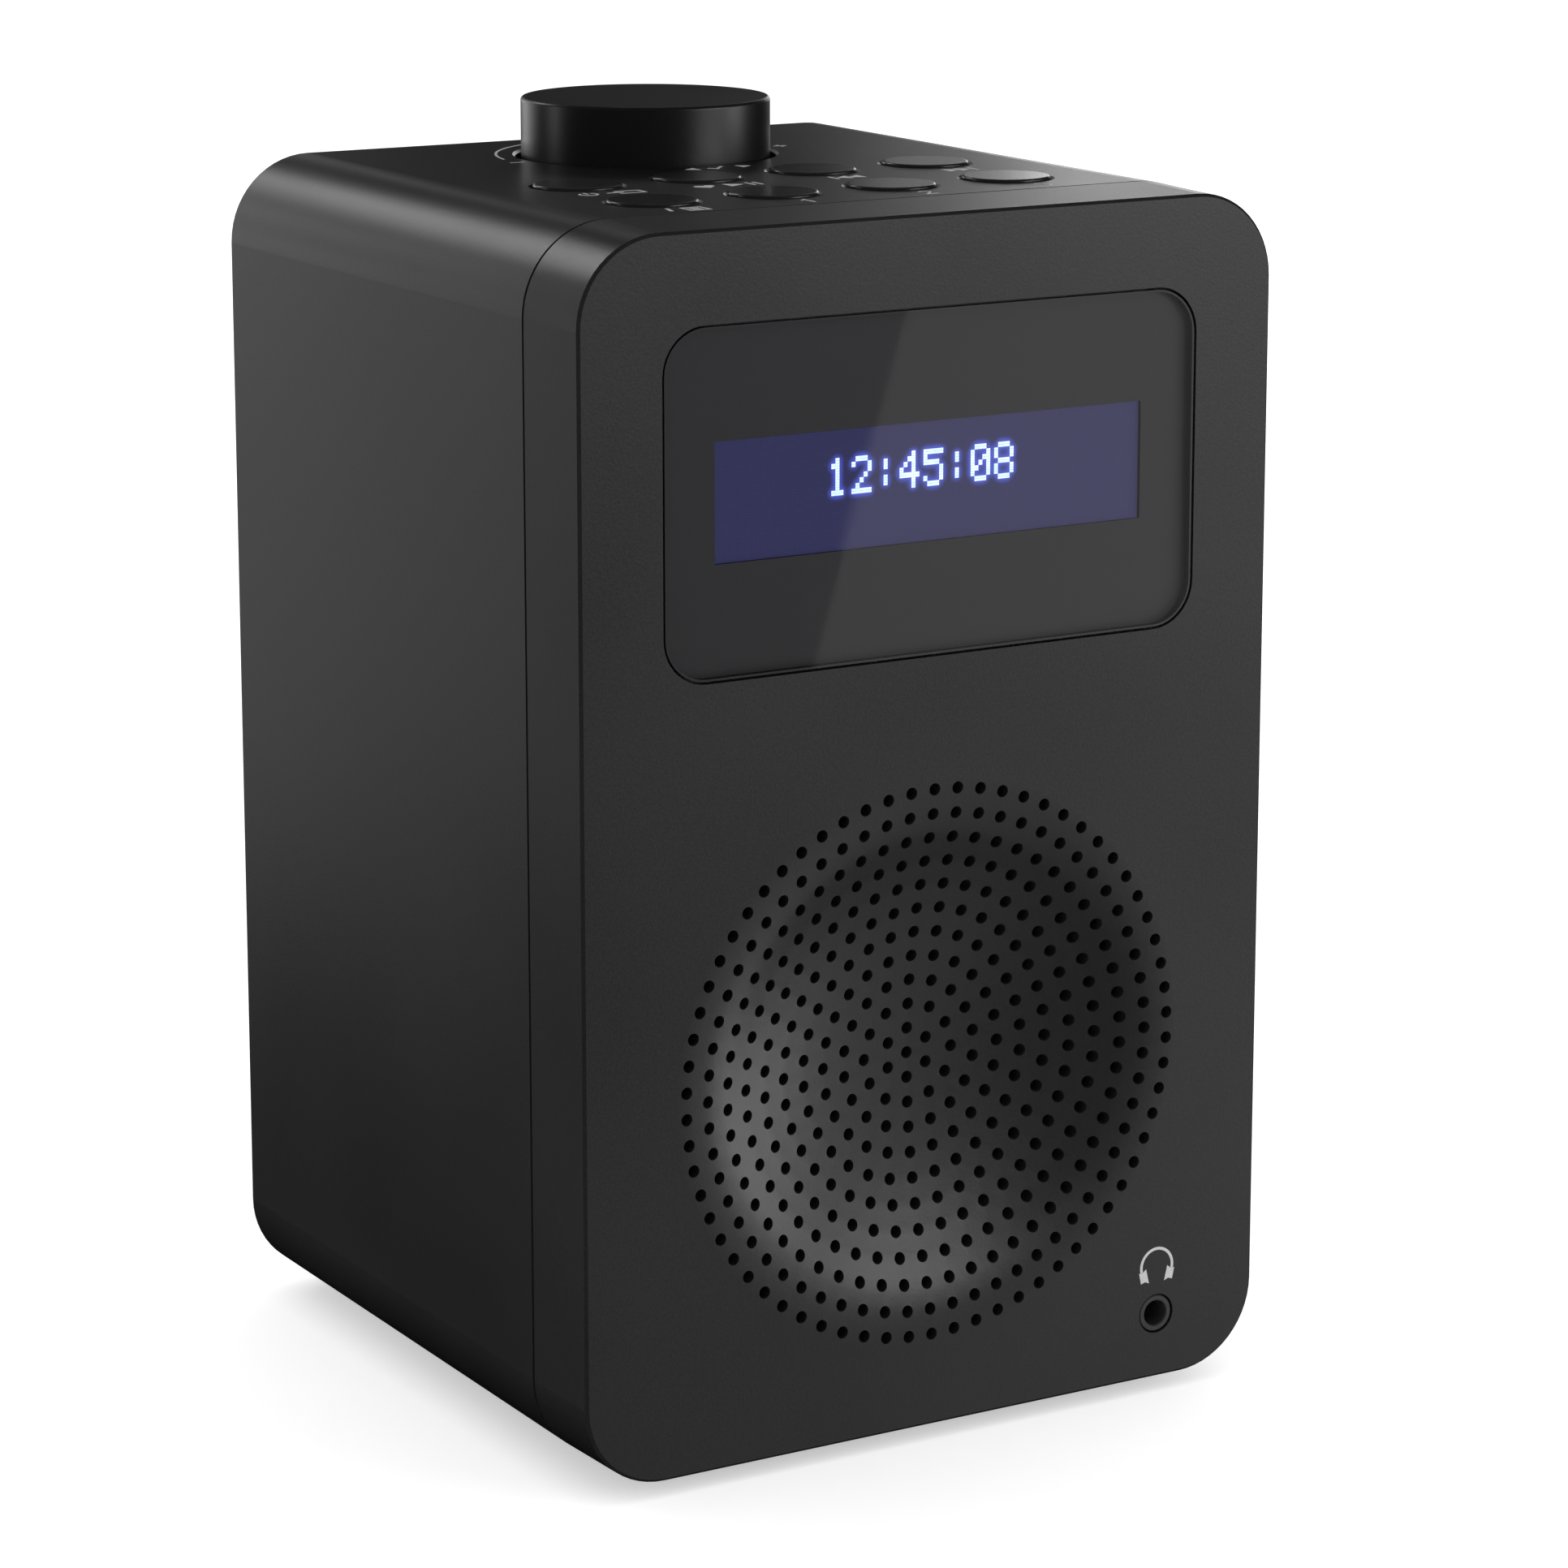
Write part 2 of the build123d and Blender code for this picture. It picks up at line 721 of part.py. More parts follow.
with BuildPart() as speaker_gasket:
    with BuildSketch(behind_face(lug_seat)):
        with Locations((0, speaker_z)):
            Circle(collar_inner + collar_wall - surround_gap)
            Circle(collar_inner - surround_gap, mode=Mode.SUBTRACT)
    extrude(amount=gasket_thickness)
finish(speaker_gasket.part, "speaker_gasket")

with BuildPart() as speaker_basket:
    with BuildSketch(behind_face(flange_back)):
        with Locations((0, speaker_z)):
            Circle(flange_radius)
            lug_square = 2 * (lug_offset + lug_radius)
            RectangleRounded(lug_square, lug_square, lug_radius)
            Circle(basket_mouth, mode=Mode.SUBTRACT)
        with Locations(*speaker_posts):
            Circle(board_screw[0], mode=Mode.SUBTRACT)
    extrude(amount=flange_sheet)
    with BuildSketch(speaker_section):
        with BuildLine():
            Polyline(
                (flange_front, basket_mouth),
                (flange_front, basket_mouth + basket_sheet),
                (flange_back, basket_mouth + basket_sheet),
                (plate_front - basket_sheet, basket_back + basket_sheet),
                (plate_front, basket_back + basket_sheet),
                (plate_front, plate_hole_radius + coil_winding),
                (plate_front - basket_sheet, plate_hole_radius + coil_winding),
                (plate_front - basket_sheet, basket_back),
                (flange_back, basket_mouth),
                close=True,
            )
        make_face()
    revolve(axis=speaker_axis)
    # windows in the basket's cone let air through behind the diaphragm
    with BuildSketch(behind_face(plate_front - 2 * basket_sheet)):
        with Locations((0, speaker_z)):
            with PolarLocations((basket_mouth + basket_back) / 2, basket_windows, basket_window_start):
                SlotOverall(basket_window_length, basket_window_width, rotation=90)
    extrude(amount=plate_front - flange_back - 3 * basket_sheet, mode=Mode.SUBTRACT)
finish(speaker_basket.part, "speaker_basket")

with BuildPart() as speaker_screws:
    with Locations(*seats(speaker_posts, flange_back)):
        add(screw(board_screw, board_screw_length))
finish(speaker_screws.part, "speaker_screws")

roll_start = flange_front - surround_sheet
roll_middle = (lip_outer + roll_outer) / 2
with BuildPart() as speaker_surround:
    with BuildSketch(speaker_section):
        with BuildLine():
            Polyline(
                (roll_start, roll_outer),
                (roll_start, collar_inner - skip),
                (flange_front, collar_inner - skip),
                (flange_front, roll_outer - surround_sheet),
                (roll_start, roll_outer - surround_sheet),
            )
            ThreePointArc(
                (roll_start, roll_outer - surround_sheet),
                (roll_start - surround_roll + surround_sheet, roll_middle),
                (roll_start, lip_outer + surround_sheet),
            )
            Polyline(
                (roll_start, lip_outer + surround_sheet),
                (flange_front, lip_outer + surround_sheet),
                (flange_front, cone_radius + surround_gap),
                (roll_start, cone_radius + surround_gap),
                (roll_start, lip_outer),
            )
            ThreePointArc(
                (roll_start, lip_outer), (roll_start - surround_roll, roll_middle), (roll_start, roll_outer)
            )
        make_face()
    revolve(axis=speaker_axis)
finish(speaker_surround.part, "speaker_surround")

former_radius = coil_radius + coil_former_sheet
cone_end = flange_front + cone_depth
with BuildPart() as speaker_cone:
    with BuildSketch(speaker_section):
        with BuildLine():
            Polyline(
                (flange_front, cone_radius),
                (cone_end, former_radius),
                (cone_end + cone_thickness, former_radius),
                (flange_front + cone_thickness, cone_radius),
                close=True,
            )
        make_face()
    revolve(axis=speaker_axis)
finish(speaker_cone.part, "speaker_cone")

cap_radius = (dust_cap_radius**2 + dust_cap_rise**2) / (2 * dust_cap_rise)
cap_edge = cone_end - cone_depth * (dust_cap_radius - former_radius) / (cone_radius - former_radius)
cap_front = cap_edge - dust_cap_rise
cap_inner = sqrt((cap_radius - coil_winding) ** 2 - (cap_radius - dust_cap_rise) ** 2)
with BuildPart() as dust_cap:
    with BuildSketch(speaker_section):
        with BuildLine():
            Line((cap_front + coil_winding, 0), (cap_front, 0))
            RadiusArc((cap_front, 0), (cap_edge, dust_cap_radius), cap_radius)
            Line((cap_edge, dust_cap_radius), (cap_edge, cap_inner))
            RadiusArc((cap_edge, cap_inner), (cap_front + coil_winding, 0), -(cap_radius - coil_winding))
        make_face()
    revolve(axis=speaker_axis)
finish(dust_cap.part, "dust_cap")

with BuildPart() as voice_coil:
    with BuildSketch(speaker_section):
        with BuildLine():
            Polyline(
                (cone_end - cone_thickness, coil_radius),
                (cone_end - cone_thickness, former_radius),
                (plate_front - cone_travel / 2, former_radius),
                (plate_front - cone_travel / 2, former_radius + coil_winding),
                (plate_back + cone_travel / 2, former_radius + coil_winding),
                (plate_back + cone_travel / 2, former_radius),
                (plate_back + cone_travel, former_radius),
                (plate_back + cone_travel, coil_radius),
                close=True,
            )
        make_face()
    revolve(axis=speaker_axis)
finish(voice_coil.part, "voice_coil")

spider_back = plate_front - basket_sheet
spider_front = spider_back - spider_height
spider_inner = former_radius + surround_gap
spider_waves = 8
wave = (spider_outer - 3 * spider_sheet - spider_inner) / (spider_waves + 1)
crests = [
    (spider_front + spider_sheet * (i % 2), spider_inner + i * wave) for i in range(spider_waves)
]
with BuildPart() as speaker_spider:
    with BuildSketch(speaker_section):
        with BuildLine():
            Polyline(
                *crests,
                (spider_back - spider_sheet, spider_outer - 3 * spider_sheet),
                (spider_back - spider_sheet, spider_outer),
                (spider_back, spider_outer),
                (spider_back, spider_outer - 4 * spider_sheet),
                *[(depth + spider_sheet, radius) for depth, radius in reversed(crests)],
                close=True,
            )
        make_face()
    revolve(axis=speaker_axis)
finish(speaker_spider.part, "speaker_spider")

for name, front, back, outer, hole in (
    ("speaker_top_plate", plate_front, plate_back, plate_radius, plate_hole_radius),
    ("speaker_magnet", plate_back, magnet_back, magnet_radius, magnet_hole_radius),
):
    with BuildPart() as ring:
        with BuildSketch(behind_face(back)):
            with Locations((0, speaker_z)):
                Circle(outer)
                Circle(hole, mode=Mode.SUBTRACT)
        extrude(amount=back - front)
        rim = ring.edges().filter_by(GeomType.CIRCLE).filter_by(lambda edge: edge.radius > hole + skip)
        chamfer(rim, length=magnet_bevel)
    finish(ring.part, name)

with BuildPart() as speaker_yoke:
    with BuildSketch(behind_face(yoke_back)):
        with Locations((0, speaker_z)):
            Circle(magnet_radius - magnet_bevel * 2)
    extrude(amount=yoke_thickness)
    with BuildSketch(behind_face(magnet_back)):
        with Locations((0, speaker_z)):
            Circle(pole_radius)
    extrude(amount=magnet_back - plate_front)
    with BuildSketch(behind_face(yoke_back)):
        with Locations((0, speaker_z)):
            Circle(pole_vent)
    extrude(amount=yoke_back - plate_front, mode=Mode.SUBTRACT)
    chamfer(speaker_yoke.faces().sort_by(Axis.Y)[-1].edges(), length=magnet_bevel)
finish(speaker_yoke.part, "speaker_yoke")

# ---------------------------------------------------------------- buttons
button_names = (
    ("menu_button", "preset_1_button", "preset_2_button", "preset_3_button"),
    ("power_button", "play_button", "previous_button", "next_button"),
)
button_rows = (front_y + button_front_row, front_y + button_back_row)
button_under = ceiling - button_flange_gap
switch_top = board_top + switch_height

for names, y in zip(button_names, button_rows):
    for name, x in zip(names, button_xs):
        with BuildPart() as button:
            with BuildSketch(Plane.XY.offset(button_under - button_flange)):
                with Locations((x, y)):
                    Circle(button_radius + button_flange_width)
            extrude(amount=button_flange)
            with BuildSketch(Plane.XY.offset(button_under)):
                with Locations((x, y)):
                    Circle(button_radius)
            extrude(amount=body_top + button_rise - button_under)
            fillet(button.edges().group_by(Axis.Z)[-1], radius=button_edge)
            with BuildSketch(Plane.XY.offset(button_under - button_flange)):
                with Locations((x, y)):
                    Circle(button_hollow_outer)
                    Circle(button_hollow_inner, mode=Mode.SUBTRACT)
            extrude(
                amount=body_top + button_rise - button_crown - button_under + button_flange,
                mode=Mode.SUBTRACT,
            )
            with BuildSketch(Plane.XY.offset(switch_top - stem_entry)):
                with Locations((x, y)):
                    Circle(stem_radius)
            extrude(amount=button_under - switch_top + stem_entry)
        finish(button.part, name)

with BuildPart() as tact_switches:
    with BuildSketch(Plane.XY.offset(board_top)):
        with Locations(*[(x, y) for y in button_rows for x in button_xs]):
            RectangleRounded(switch_size, switch_size, switch_size / 10)
    extrude(amount=switch_height)
    with BuildSketch(Plane.XY.offset(switch_top - switch_bore_depth)):
        with Locations(*[(x, y) for y in button_rows for x in button_xs]):
            Circle(stem_radius + stem_clearance)
    extrude(amount=switch_bore_depth, mode=Mode.SUBTRACT)
finish(tact_switches.part, "tact_switches")

key_board_y = front_y + (key_board_front + key_board_back) / 2
with BuildPart() as key_board:
    with BuildSketch(Plane.XY.offset(board_top - board_thickness)):
        with Locations((0, key_board_y)):
            RectangleRounded(key_board_width, key_board_back - key_board_front, key_boss_radius)
        with Locations(*key_posts):
            Circle(board_screw[0], mode=Mode.SUBTRACT)
    extrude(amount=board_thickness)
finish(key_board.part, "key_board")

with BuildPart() as key_board_screws:
    with Locations(
        *[
            Plane(origin=(x, y, board_top - board_thickness), x_dir=(1, 0, 0), z_dir=(0, 0, -1)).location
            for x, y in key_posts
        ]
    ):
        add(screw(board_screw, board_screw_length))
finish(key_board_screws.part, "key_board_screws")

# ---------------------------------------------------------------- knob and encoder
plunger_start = board_top + knob_press + plunger_gap
shaft_start = plunger_start + plunger_thickness + plunger_gap
shaft_end = body_top + knob_rise - knob_crown
hub_end = well_bottom + bushing_rise + knob_press + surround_gap

with BuildPart() as encoder_body:
    with BuildSketch(Plane.XY.offset(board_top)):
        with Locations((0, knob_y)):
            RectangleRounded(encoder_size, encoder_size, encoder_size / 12)
            Circle(shaft_radius + plunger_clearance, mode=Mode.SUBTRACT)
    extrude(amount=well_underside - board_top)
    with BuildSketch(Plane.XY.offset(well_underside)):
        with Locations((0, knob_y)):
            Circle(bushing_radius)
            Circle(shaft_radius + shaft_clearance, mode=Mode.SUBTRACT)
    extrude(amount=well_floor + bushing_rise)
finish(encoder_body.part, "encoder_body")

with BuildPart() as encoder_plunger:
    with BuildSketch(Plane.XY.offset(plunger_start)):
        with Locations((0, knob_y)):
            Circle(shaft_radius)
    extrude(amount=plunger_thickness)
finish(encoder_plunger.part, "encoder_plunger")

with BuildPart() as encoder_nut:
    with BuildSketch(Plane.XY.offset(well_bottom)):
        with Locations((0, knob_y)):
            RegularPolygon(nut_flats / 2, 6, major_radius=False)
            Circle(bushing_radius, mode=Mode.SUBTRACT)
    extrude(amount=nut_thickness)
finish(encoder_nut.part, "encoder_nut")

with BuildPart() as encoder_shaft:
    with BuildSketch(Plane.XY.offset(shaft_start)):
        with Locations((0, knob_y)):
            Circle(shaft_radius)
    extrude(amount=shaft_end - shaft_start)
    with BuildSketch(Plane.XY.offset(hub_end)):
        with Locations((0, knob_y + shaft_radius)):
            Rectangle(3 * shaft_radius, 2 * shaft_flat)
    extrude(amount=shaft_end - hub_end, mode=Mode.SUBTRACT)
finish(encoder_shaft.part, "encoder_shaft")

with BuildPart() as tuning_knob:
    with BuildSketch(Plane.XY.offset(body_top - knob_skirt)):
        with Locations((0, knob_y)):
            Circle(knob_radius)
    extrude(amount=knob_skirt + knob_rise)
    fillet(tuning_knob.edges().group_by(Axis.Z)[-1], radius=knob_edge)
    with BuildSketch(Plane.XY.offset(body_top - knob_skirt)):
        with Locations((0, knob_y)):
            Circle(knob_radius - knob_wall)
    extrude(amount=knob_skirt + knob_rise - knob_crown, mode=Mode.SUBTRACT)
    with BuildSketch(Plane.XY.offset(hub_end)):
        with Locations((0, knob_y)):
            Circle(knob_hub_radius)
    extrude(amount=shaft_end - hub_end)
    with BuildSketch(Plane.XY.offset(hub_end)):
        with Locations((0, knob_y)):
            Circle(shaft_radius)
        with Locations((0, knob_y + shaft_radius)):
            Rectangle(3 * shaft_radius, 2 * shaft_flat, mode=Mode.SUBTRACT)
    extrude(amount=shaft_end - hub_end, mode=Mode.SUBTRACT)
finish(tuning_knob.part, "tuning_knob")

# ---------------------------------------------------------------- main board and what is on it
with BuildPart() as main_board:
    with BuildSketch(behind_face(main_board_back)):
        with Locations((0, main_board_z)):
            RectangleRounded(main_board_width, main_board_height, main_boss_radius)
        with Locations(*main_posts):
            Circle(board_screw[0], mode=Mode.SUBTRACT)
    extrude(amount=board_thickness)
finish(main_board.part, "main_board")

with BuildPart() as main_board_screws:
    with Locations(
        *[
            Plane(
                origin=(x, front_y + main_board_face, z), x_dir=(1, 0, 0), z_dir=(0, -1, 0)
            ).location
            for x, z in main_posts
        ]
    ):
        add(screw(board_screw, board_screw_length))
finish(main_board_screws.part, "main_board_screws")

with BuildPart() as radio_module:
    with BuildSketch(behind_face(main_board_face)):
        with Locations((module_x, main_board_z + module_up)):
            RectangleRounded(module_width, module_height, 1)
    extrude(amount=module_thickness)
finish(radio_module.part, "radio_module")

with BuildPart() as amplifier_heatsink:
    with BuildSketch(behind_face(main_board_face)):
        with Locations((heatsink_x, main_board_z + heatsink_up)):
            Rectangle(heatsink_width, heatsink_height)
    extrude(amount=heatsink_base)
    with BuildSketch(behind_face(main_board_face - heatsink_base)):
        with Locations((heatsink_x, main_board_z + heatsink_up)):
            with GridLocations((heatsink_width - heatsink_fin) / (heatsink_fins - 1), 0, heatsink_fins, 1):
                Rectangle(heatsink_fin, heatsink_height)
    extrude(amount=heatsink_depth - heatsink_base)
finish(amplifier_heatsink.part, "amplifier_heatsink")

with BuildPart() as capacitors:
    with BuildSketch(behind_face(main_board_face)):
        with Locations((capacitor_x, main_board_z + capacitor_up)):
            with GridLocations(capacitor_pitch, 0, capacitor_count, 1):
                Circle(capacitor_radius)
    extrude(amount=capacitor_length)
    fillet(capacitors.edges().group_by(Axis.Y)[0], radius=capacitor_radius / 6)
finish(capacitors.part, "capacitors")

inlet_end = case_depth - inlet_recess
with BuildPart() as dc_inlet:
    with BuildSketch(behind_face(case_depth - wall)):
        with Locations((inlet_x, inlet_z)):
            Rectangle(inlet_body, inlet_body)
    extrude(amount=main_board_standoff)
    with BuildSketch(behind_face(inlet_end)):
        with Locations((inlet_x, inlet_z)):
            Circle(inlet_nose_radius)
    extrude(amount=inlet_end - case_depth + wall)
    with BuildSketch(behind_face(inlet_end)):
        with Locations((inlet_x, inlet_z)):
            Circle(inlet_bore / 2)
    extrude(amount=inlet_bore_depth, mode=Mode.SUBTRACT)
finish(dc_inlet.part, "dc_inlet")

with BuildPart() as dc_contact:
    with BuildSketch(behind_face(inlet_end - inlet_pin_setback)):
        with Locations((inlet_x, inlet_z)):
            Circle(inlet_pin / 2)
    extrude(amount=inlet_bore_depth - inlet_pin_setback)
    fillet(dc_contact.edges().group_by(Axis.Y)[-1], radius=inlet_pin / 5)
finish(dc_contact.part, "dc_contact")

# ---------------------------------------------------------------- antenna
pivot_y = back_y + pivot_behind_back
turret_face = back_y + turret_gap + turret_thickness
head_start = back_y + turret_gap + turret_bore_depth + shaft_clearance * 2


def behind_back(y):
    """Plane seen from behind the radio at the given Y: local Y is Z, extrusions go backwards."""
    return Plane(origin=(0, y, 0), x_dir=(-1, 0, 0), z_dir=(0, 1, 0))


with BuildPart() as antenna_stud:
    stud_start = back_y - wall - stud_nut_thickness - root
    with BuildSketch(behind_back(stud_start)):
        with Locations((-antenna_x, antenna_z)):
            Circle(stud_radius)
    extrude(amount=head_start - stud_start)
    with BuildSketch(behind_back(head_start)):
        with Locations((-antenna_x, antenna_z)):
            Circle(stud_head_radius)
    extrude(amount=stud_head_thickness)
finish(antenna_stud.part, "antenna_stud")

with BuildPart() as antenna_nut:
    with BuildSketch(behind_back(back_y - wall - stud_nut_thickness)):
        with Locations((-antenna_x, antenna_z)):
            RegularPolygon(stud_nut_flats / 2, 6, major_radius=False)
            Circle(stud_radius, mode=Mode.SUBTRACT)
    extrude(amount=stud_nut_thickness)
finish(antenna_nut.part, "antenna_nut")

with BuildPart() as antenna_turret:
    with BuildSketch(behind_back(back_y + turret_gap)):
        with Locations((-antenna_x, antenna_z)):
            Circle(turret_radius)
    extrude(amount=turret_thickness)
    with BuildSketch(Plane.YZ.offset(antenna_x - fork_outer)):
        with Locations((pivot_y, antenna_z)):
            Circle(fork_radius)
        with Locations((pivot_y, antenna_z)):
            Rectangle(pivot_above_turret + root, 2 * fork_radius, align=(Align.MAX, Align.CENTER))
    extrude(amount=2 * fork_outer)
    with BuildSketch(Plane.YZ.offset(antenna_x - fork_slot / 2)):
        with Locations((turret_face, antenna_z)):
            Rectangle(
                pivot_above_turret + 2 * fork_radius, 4 * fork_radius, align=(Align.MIN, Align.CENTER)
            )
    extrude(amount=fork_slot, mode=Mode.SUBTRACT)
    with BuildSketch(behind_back(back_y)):
        with Locations((-antenna_x, antenna_z)):
            Circle(stud_radius + shaft_clearance)
    extrude(amount=turret_gap + turret_thickness, mode=Mode.SUBTRACT)
    with BuildSketch(behind_back(back_y + turret_gap + turret_bore_depth)):
        with Locations((-antenna_x, antenna_z)):
            Circle(stud_head_radius + stud_head_clearance)
    extrude(amount=turret_thickness - turret_bore_depth, mode=Mode.SUBTRACT)
    with BuildSketch(Plane.YZ.offset(antenna_x - fork_outer - skip)):
        with Locations((pivot_y, antenna_z)):
            Circle(antenna_pin_radius)
    extrude(amount=2 * (fork_outer + skip), mode=Mode.SUBTRACT)
finish(antenna_turret.part, "antenna_turret")

with BuildPart() as antenna_pin:
    with BuildSketch(Plane.YZ.offset(antenna_x - fork_outer)):
        with Locations((pivot_y, antenna_z)):
            Circle(antenna_pin_radius)
    extrude(amount=2 * fork_outer)
finish(antenna_pin.part, "antenna_pin")

tube_top = antenna_z - neck_length
tube_end = tube_top - antenna_length
with BuildPart() as antenna_tube:
    with BuildSketch(Plane.YZ.offset(antenna_x - knuckle_width / 2)):
        with Locations((pivot_y, antenna_z)):
            Circle(knuckle_radius)
            Rectangle(
                2 * knuckle_radius * 0.7, neck_length + root, align=(Align.CENTER, Align.MAX)
            )
    extrude(amount=knuckle_width)
    with BuildSketch(Plane.XY.offset(tube_end)):
        with Locations((antenna_x, pivot_y)):
            Circle(antenna_radius)
    extrude(amount=antenna_length)
    chamfer(
        antenna_tube.edges().filter_by(GeomType.CIRCLE).sort_by(Axis.Z)[0], length=antenna_wall / 2
    )
    with BuildSketch(Plane.XY.offset(tube_end)):
        with Locations((antenna_x, pivot_y)):
            Circle(antenna_radius - antenna_wall)
    extrude(amount=antenna_length - antenna_solid_root, mode=Mode.SUBTRACT)
    with BuildSketch(Plane.YZ.offset(antenna_x - knuckle_width)):
        with Locations((pivot_y, antenna_z)):
            Circle(antenna_pin_radius + shaft_clearance)
    extrude(amount=2 * knuckle_width, mode=Mode.SUBTRACT)
finish(antenna_tube.part, "antenna_tube")

layer_step = antenna_wall + antenna_clearance
for number, name in enumerate(("antenna_section_1", "antenna_section_2", "antenna_tip"), start=1):
    outer = antenna_radius - number * layer_step
    end = tube_end - number * antenna_step
    top = tube_top - antenna_solid_root - number * antenna_clearance * 4
    with BuildPart() as section:
        with BuildSketch(Plane.XY.offset(end)):
            with Locations((antenna_x, pivot_y)):
                Circle(outer)
                if name != "antenna_tip":
                    Circle(outer - antenna_wall, mode=Mode.SUBTRACT)
        extrude(amount=top - end)
        if name == "antenna_tip":
            with BuildSketch(Plane.XY.offset(end - antenna_tip_length)):
                with Locations((antenna_x, pivot_y)):
                    Circle(antenna_radius)
            extrude(amount=antenna_tip_length)
            fillet(section.edges().group_by(Axis.Z)[0], radius=antenna_tip_round)
    finish(section.part, name)

# ---------------------------------------------------------------- wiring inside the case
# Each route is (depth behind the face, height) points in a plane of constant X.
display_board_end = display_board_start + board_thickness
display_route = (
    (display_board_end, window_z - ribbon_down),
    (display_board_end + ribbon_straight, window_z - ribbon_down),
    (main_board_face - ribbon_straight, main_board_z + display_ribbon_up),
    (main_board_face, main_board_z + display_ribbon_up),
)
key_route = (
    (key_ribbon_depth, board_top - board_thickness),
    (key_ribbon_depth, main_board_z + key_ribbon_up),
    (main_board_face, main_board_z + key_ribbon_up),
)
lead_depth = plate_front - basket_sheet / 2
lead_route = (
    (lead_depth, speaker_z + basket_back + basket_sheet),
    (lead_depth, main_board_z + lead_up),
    (main_board_face, main_board_z + lead_up),
)

for name, route, x in (
    ("display_ribbon", display_route, display_ribbon_x),
    ("key_ribbon", key_route, key_ribbon_x),
):
    with BuildPart() as ribbon:
        with BuildLine(Plane.YZ.offset(x)) as path:
            FilletPolyline(*[(front_y + depth, z) for depth, z in route], radius=ribbon_bend)
        with BuildSketch(Plane(origin=path.line @ 0, x_dir=(1, 0, 0), z_dir=path.line % 0)):
            Rectangle(ribbon_width, ribbon_thickness)
        sweep(path=path.line)
    finish(ribbon.part, name)

with BuildPart() as speaker_leads:
    for x in (-lead_spacing / 2, lead_spacing / 2):
        with BuildLine(Plane.YZ.offset(x)) as path:
            FilletPolyline(*[(front_y + depth, z) for depth, z in lead_route], radius=lead_bend)
        with BuildSketch(Plane(origin=path.line @ 0, x_dir=(1, 0, 0), z_dir=path.line % 0)):
            Circle(lead_radius)
        sweep(path=path.line)
finish(speaker_leads.part, "speaker_leads")
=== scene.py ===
# %% [markdown]
# # A tabletop radio, dressed for its picture
#
# The radio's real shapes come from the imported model: two cabinet mouldings, buttons, a knob, a
# window, a socket and a folded antenna. This lesson adds what moulding, printing and electricity
# give a real one: grain, gloss, lit characters and printed marks. Lengths are in metres unless a
# name says mm, +Z is up and the face looks towards -Y. A mark is placed from the box of the part
# that it belongs to, so it stays right when the part's size changes.

# %% Load the radio
import json
import math

import bpy
import numpy as np
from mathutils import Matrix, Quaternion, Vector


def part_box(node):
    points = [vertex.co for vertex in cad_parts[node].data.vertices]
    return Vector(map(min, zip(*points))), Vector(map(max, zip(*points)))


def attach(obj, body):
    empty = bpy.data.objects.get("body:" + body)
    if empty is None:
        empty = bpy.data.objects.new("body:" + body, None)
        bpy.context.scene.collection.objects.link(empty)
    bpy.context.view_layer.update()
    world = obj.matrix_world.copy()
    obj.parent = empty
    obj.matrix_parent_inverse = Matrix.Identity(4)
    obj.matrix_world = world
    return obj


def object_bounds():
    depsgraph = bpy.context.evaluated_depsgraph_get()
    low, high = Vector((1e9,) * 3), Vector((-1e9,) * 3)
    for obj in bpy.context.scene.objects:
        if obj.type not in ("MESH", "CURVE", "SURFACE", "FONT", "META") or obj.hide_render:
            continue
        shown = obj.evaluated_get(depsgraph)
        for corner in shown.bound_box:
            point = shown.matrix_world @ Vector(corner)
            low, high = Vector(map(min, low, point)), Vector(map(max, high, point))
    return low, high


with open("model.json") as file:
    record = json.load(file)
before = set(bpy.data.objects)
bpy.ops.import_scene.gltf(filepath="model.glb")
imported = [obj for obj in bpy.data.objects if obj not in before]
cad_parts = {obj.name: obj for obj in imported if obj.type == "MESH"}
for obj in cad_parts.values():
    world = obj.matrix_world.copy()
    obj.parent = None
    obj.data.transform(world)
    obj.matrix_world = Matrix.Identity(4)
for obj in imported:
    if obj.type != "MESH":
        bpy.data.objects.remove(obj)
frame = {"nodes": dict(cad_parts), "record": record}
nodes = frame["nodes"]
cad_low, cad_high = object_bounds()
MM = 0.001
print("the radio measures", [round(v / MM, 1) for v in cad_high - cad_low], "mm")

# %% [markdown]
# ## The camera
#
# The view is from the front left and a little above, through a long lens. It could be aimed with
# a constraint, but a place worked out from two angles and a distance is easier to read and to
# change. A slight lens shift lets the camera stay nearly level, which keeps upright edges upright.

# %% Camera
VIEW_AZIMUTH = math.radians(-30.47)
VIEW_ELEVATION = math.radians(11.66)
VIEW_DISTANCE = 716.06 * MM
AIM_RIGHT = 8.56 * MM       # the lens axis passes this far right of the radio's middle
AIM_UP = 14.7 * MM          # and this far above it

to_camera = Vector((
    math.sin(VIEW_AZIMUTH) * math.cos(VIEW_ELEVATION),
    -math.cos(VIEW_AZIMUTH) * math.cos(VIEW_ELEVATION),
    math.sin(VIEW_ELEVATION),
))
turn = to_camera.to_track_quat("Z", "Y")
camera = bpy.data.objects.new("camera", bpy.data.cameras.new("camera"))
bpy.context.scene.collection.objects.link(camera)
bpy.context.scene.camera = camera
middle = (cad_low + cad_high) / 2
camera.location = middle + turn @ Vector((AIM_RIGHT, AIM_UP, VIEW_DISTANCE))
camera.rotation_mode = "QUATERNION"
camera.rotation_quaternion = turn
camera.data.sensor_width = 36
camera.data.lens = 114.8
camera.data.shift_y = -0.1
camera.data.clip_start, camera.data.clip_end = 0.01, 30
print("camera at", [round(v, 3) for v in camera.location])

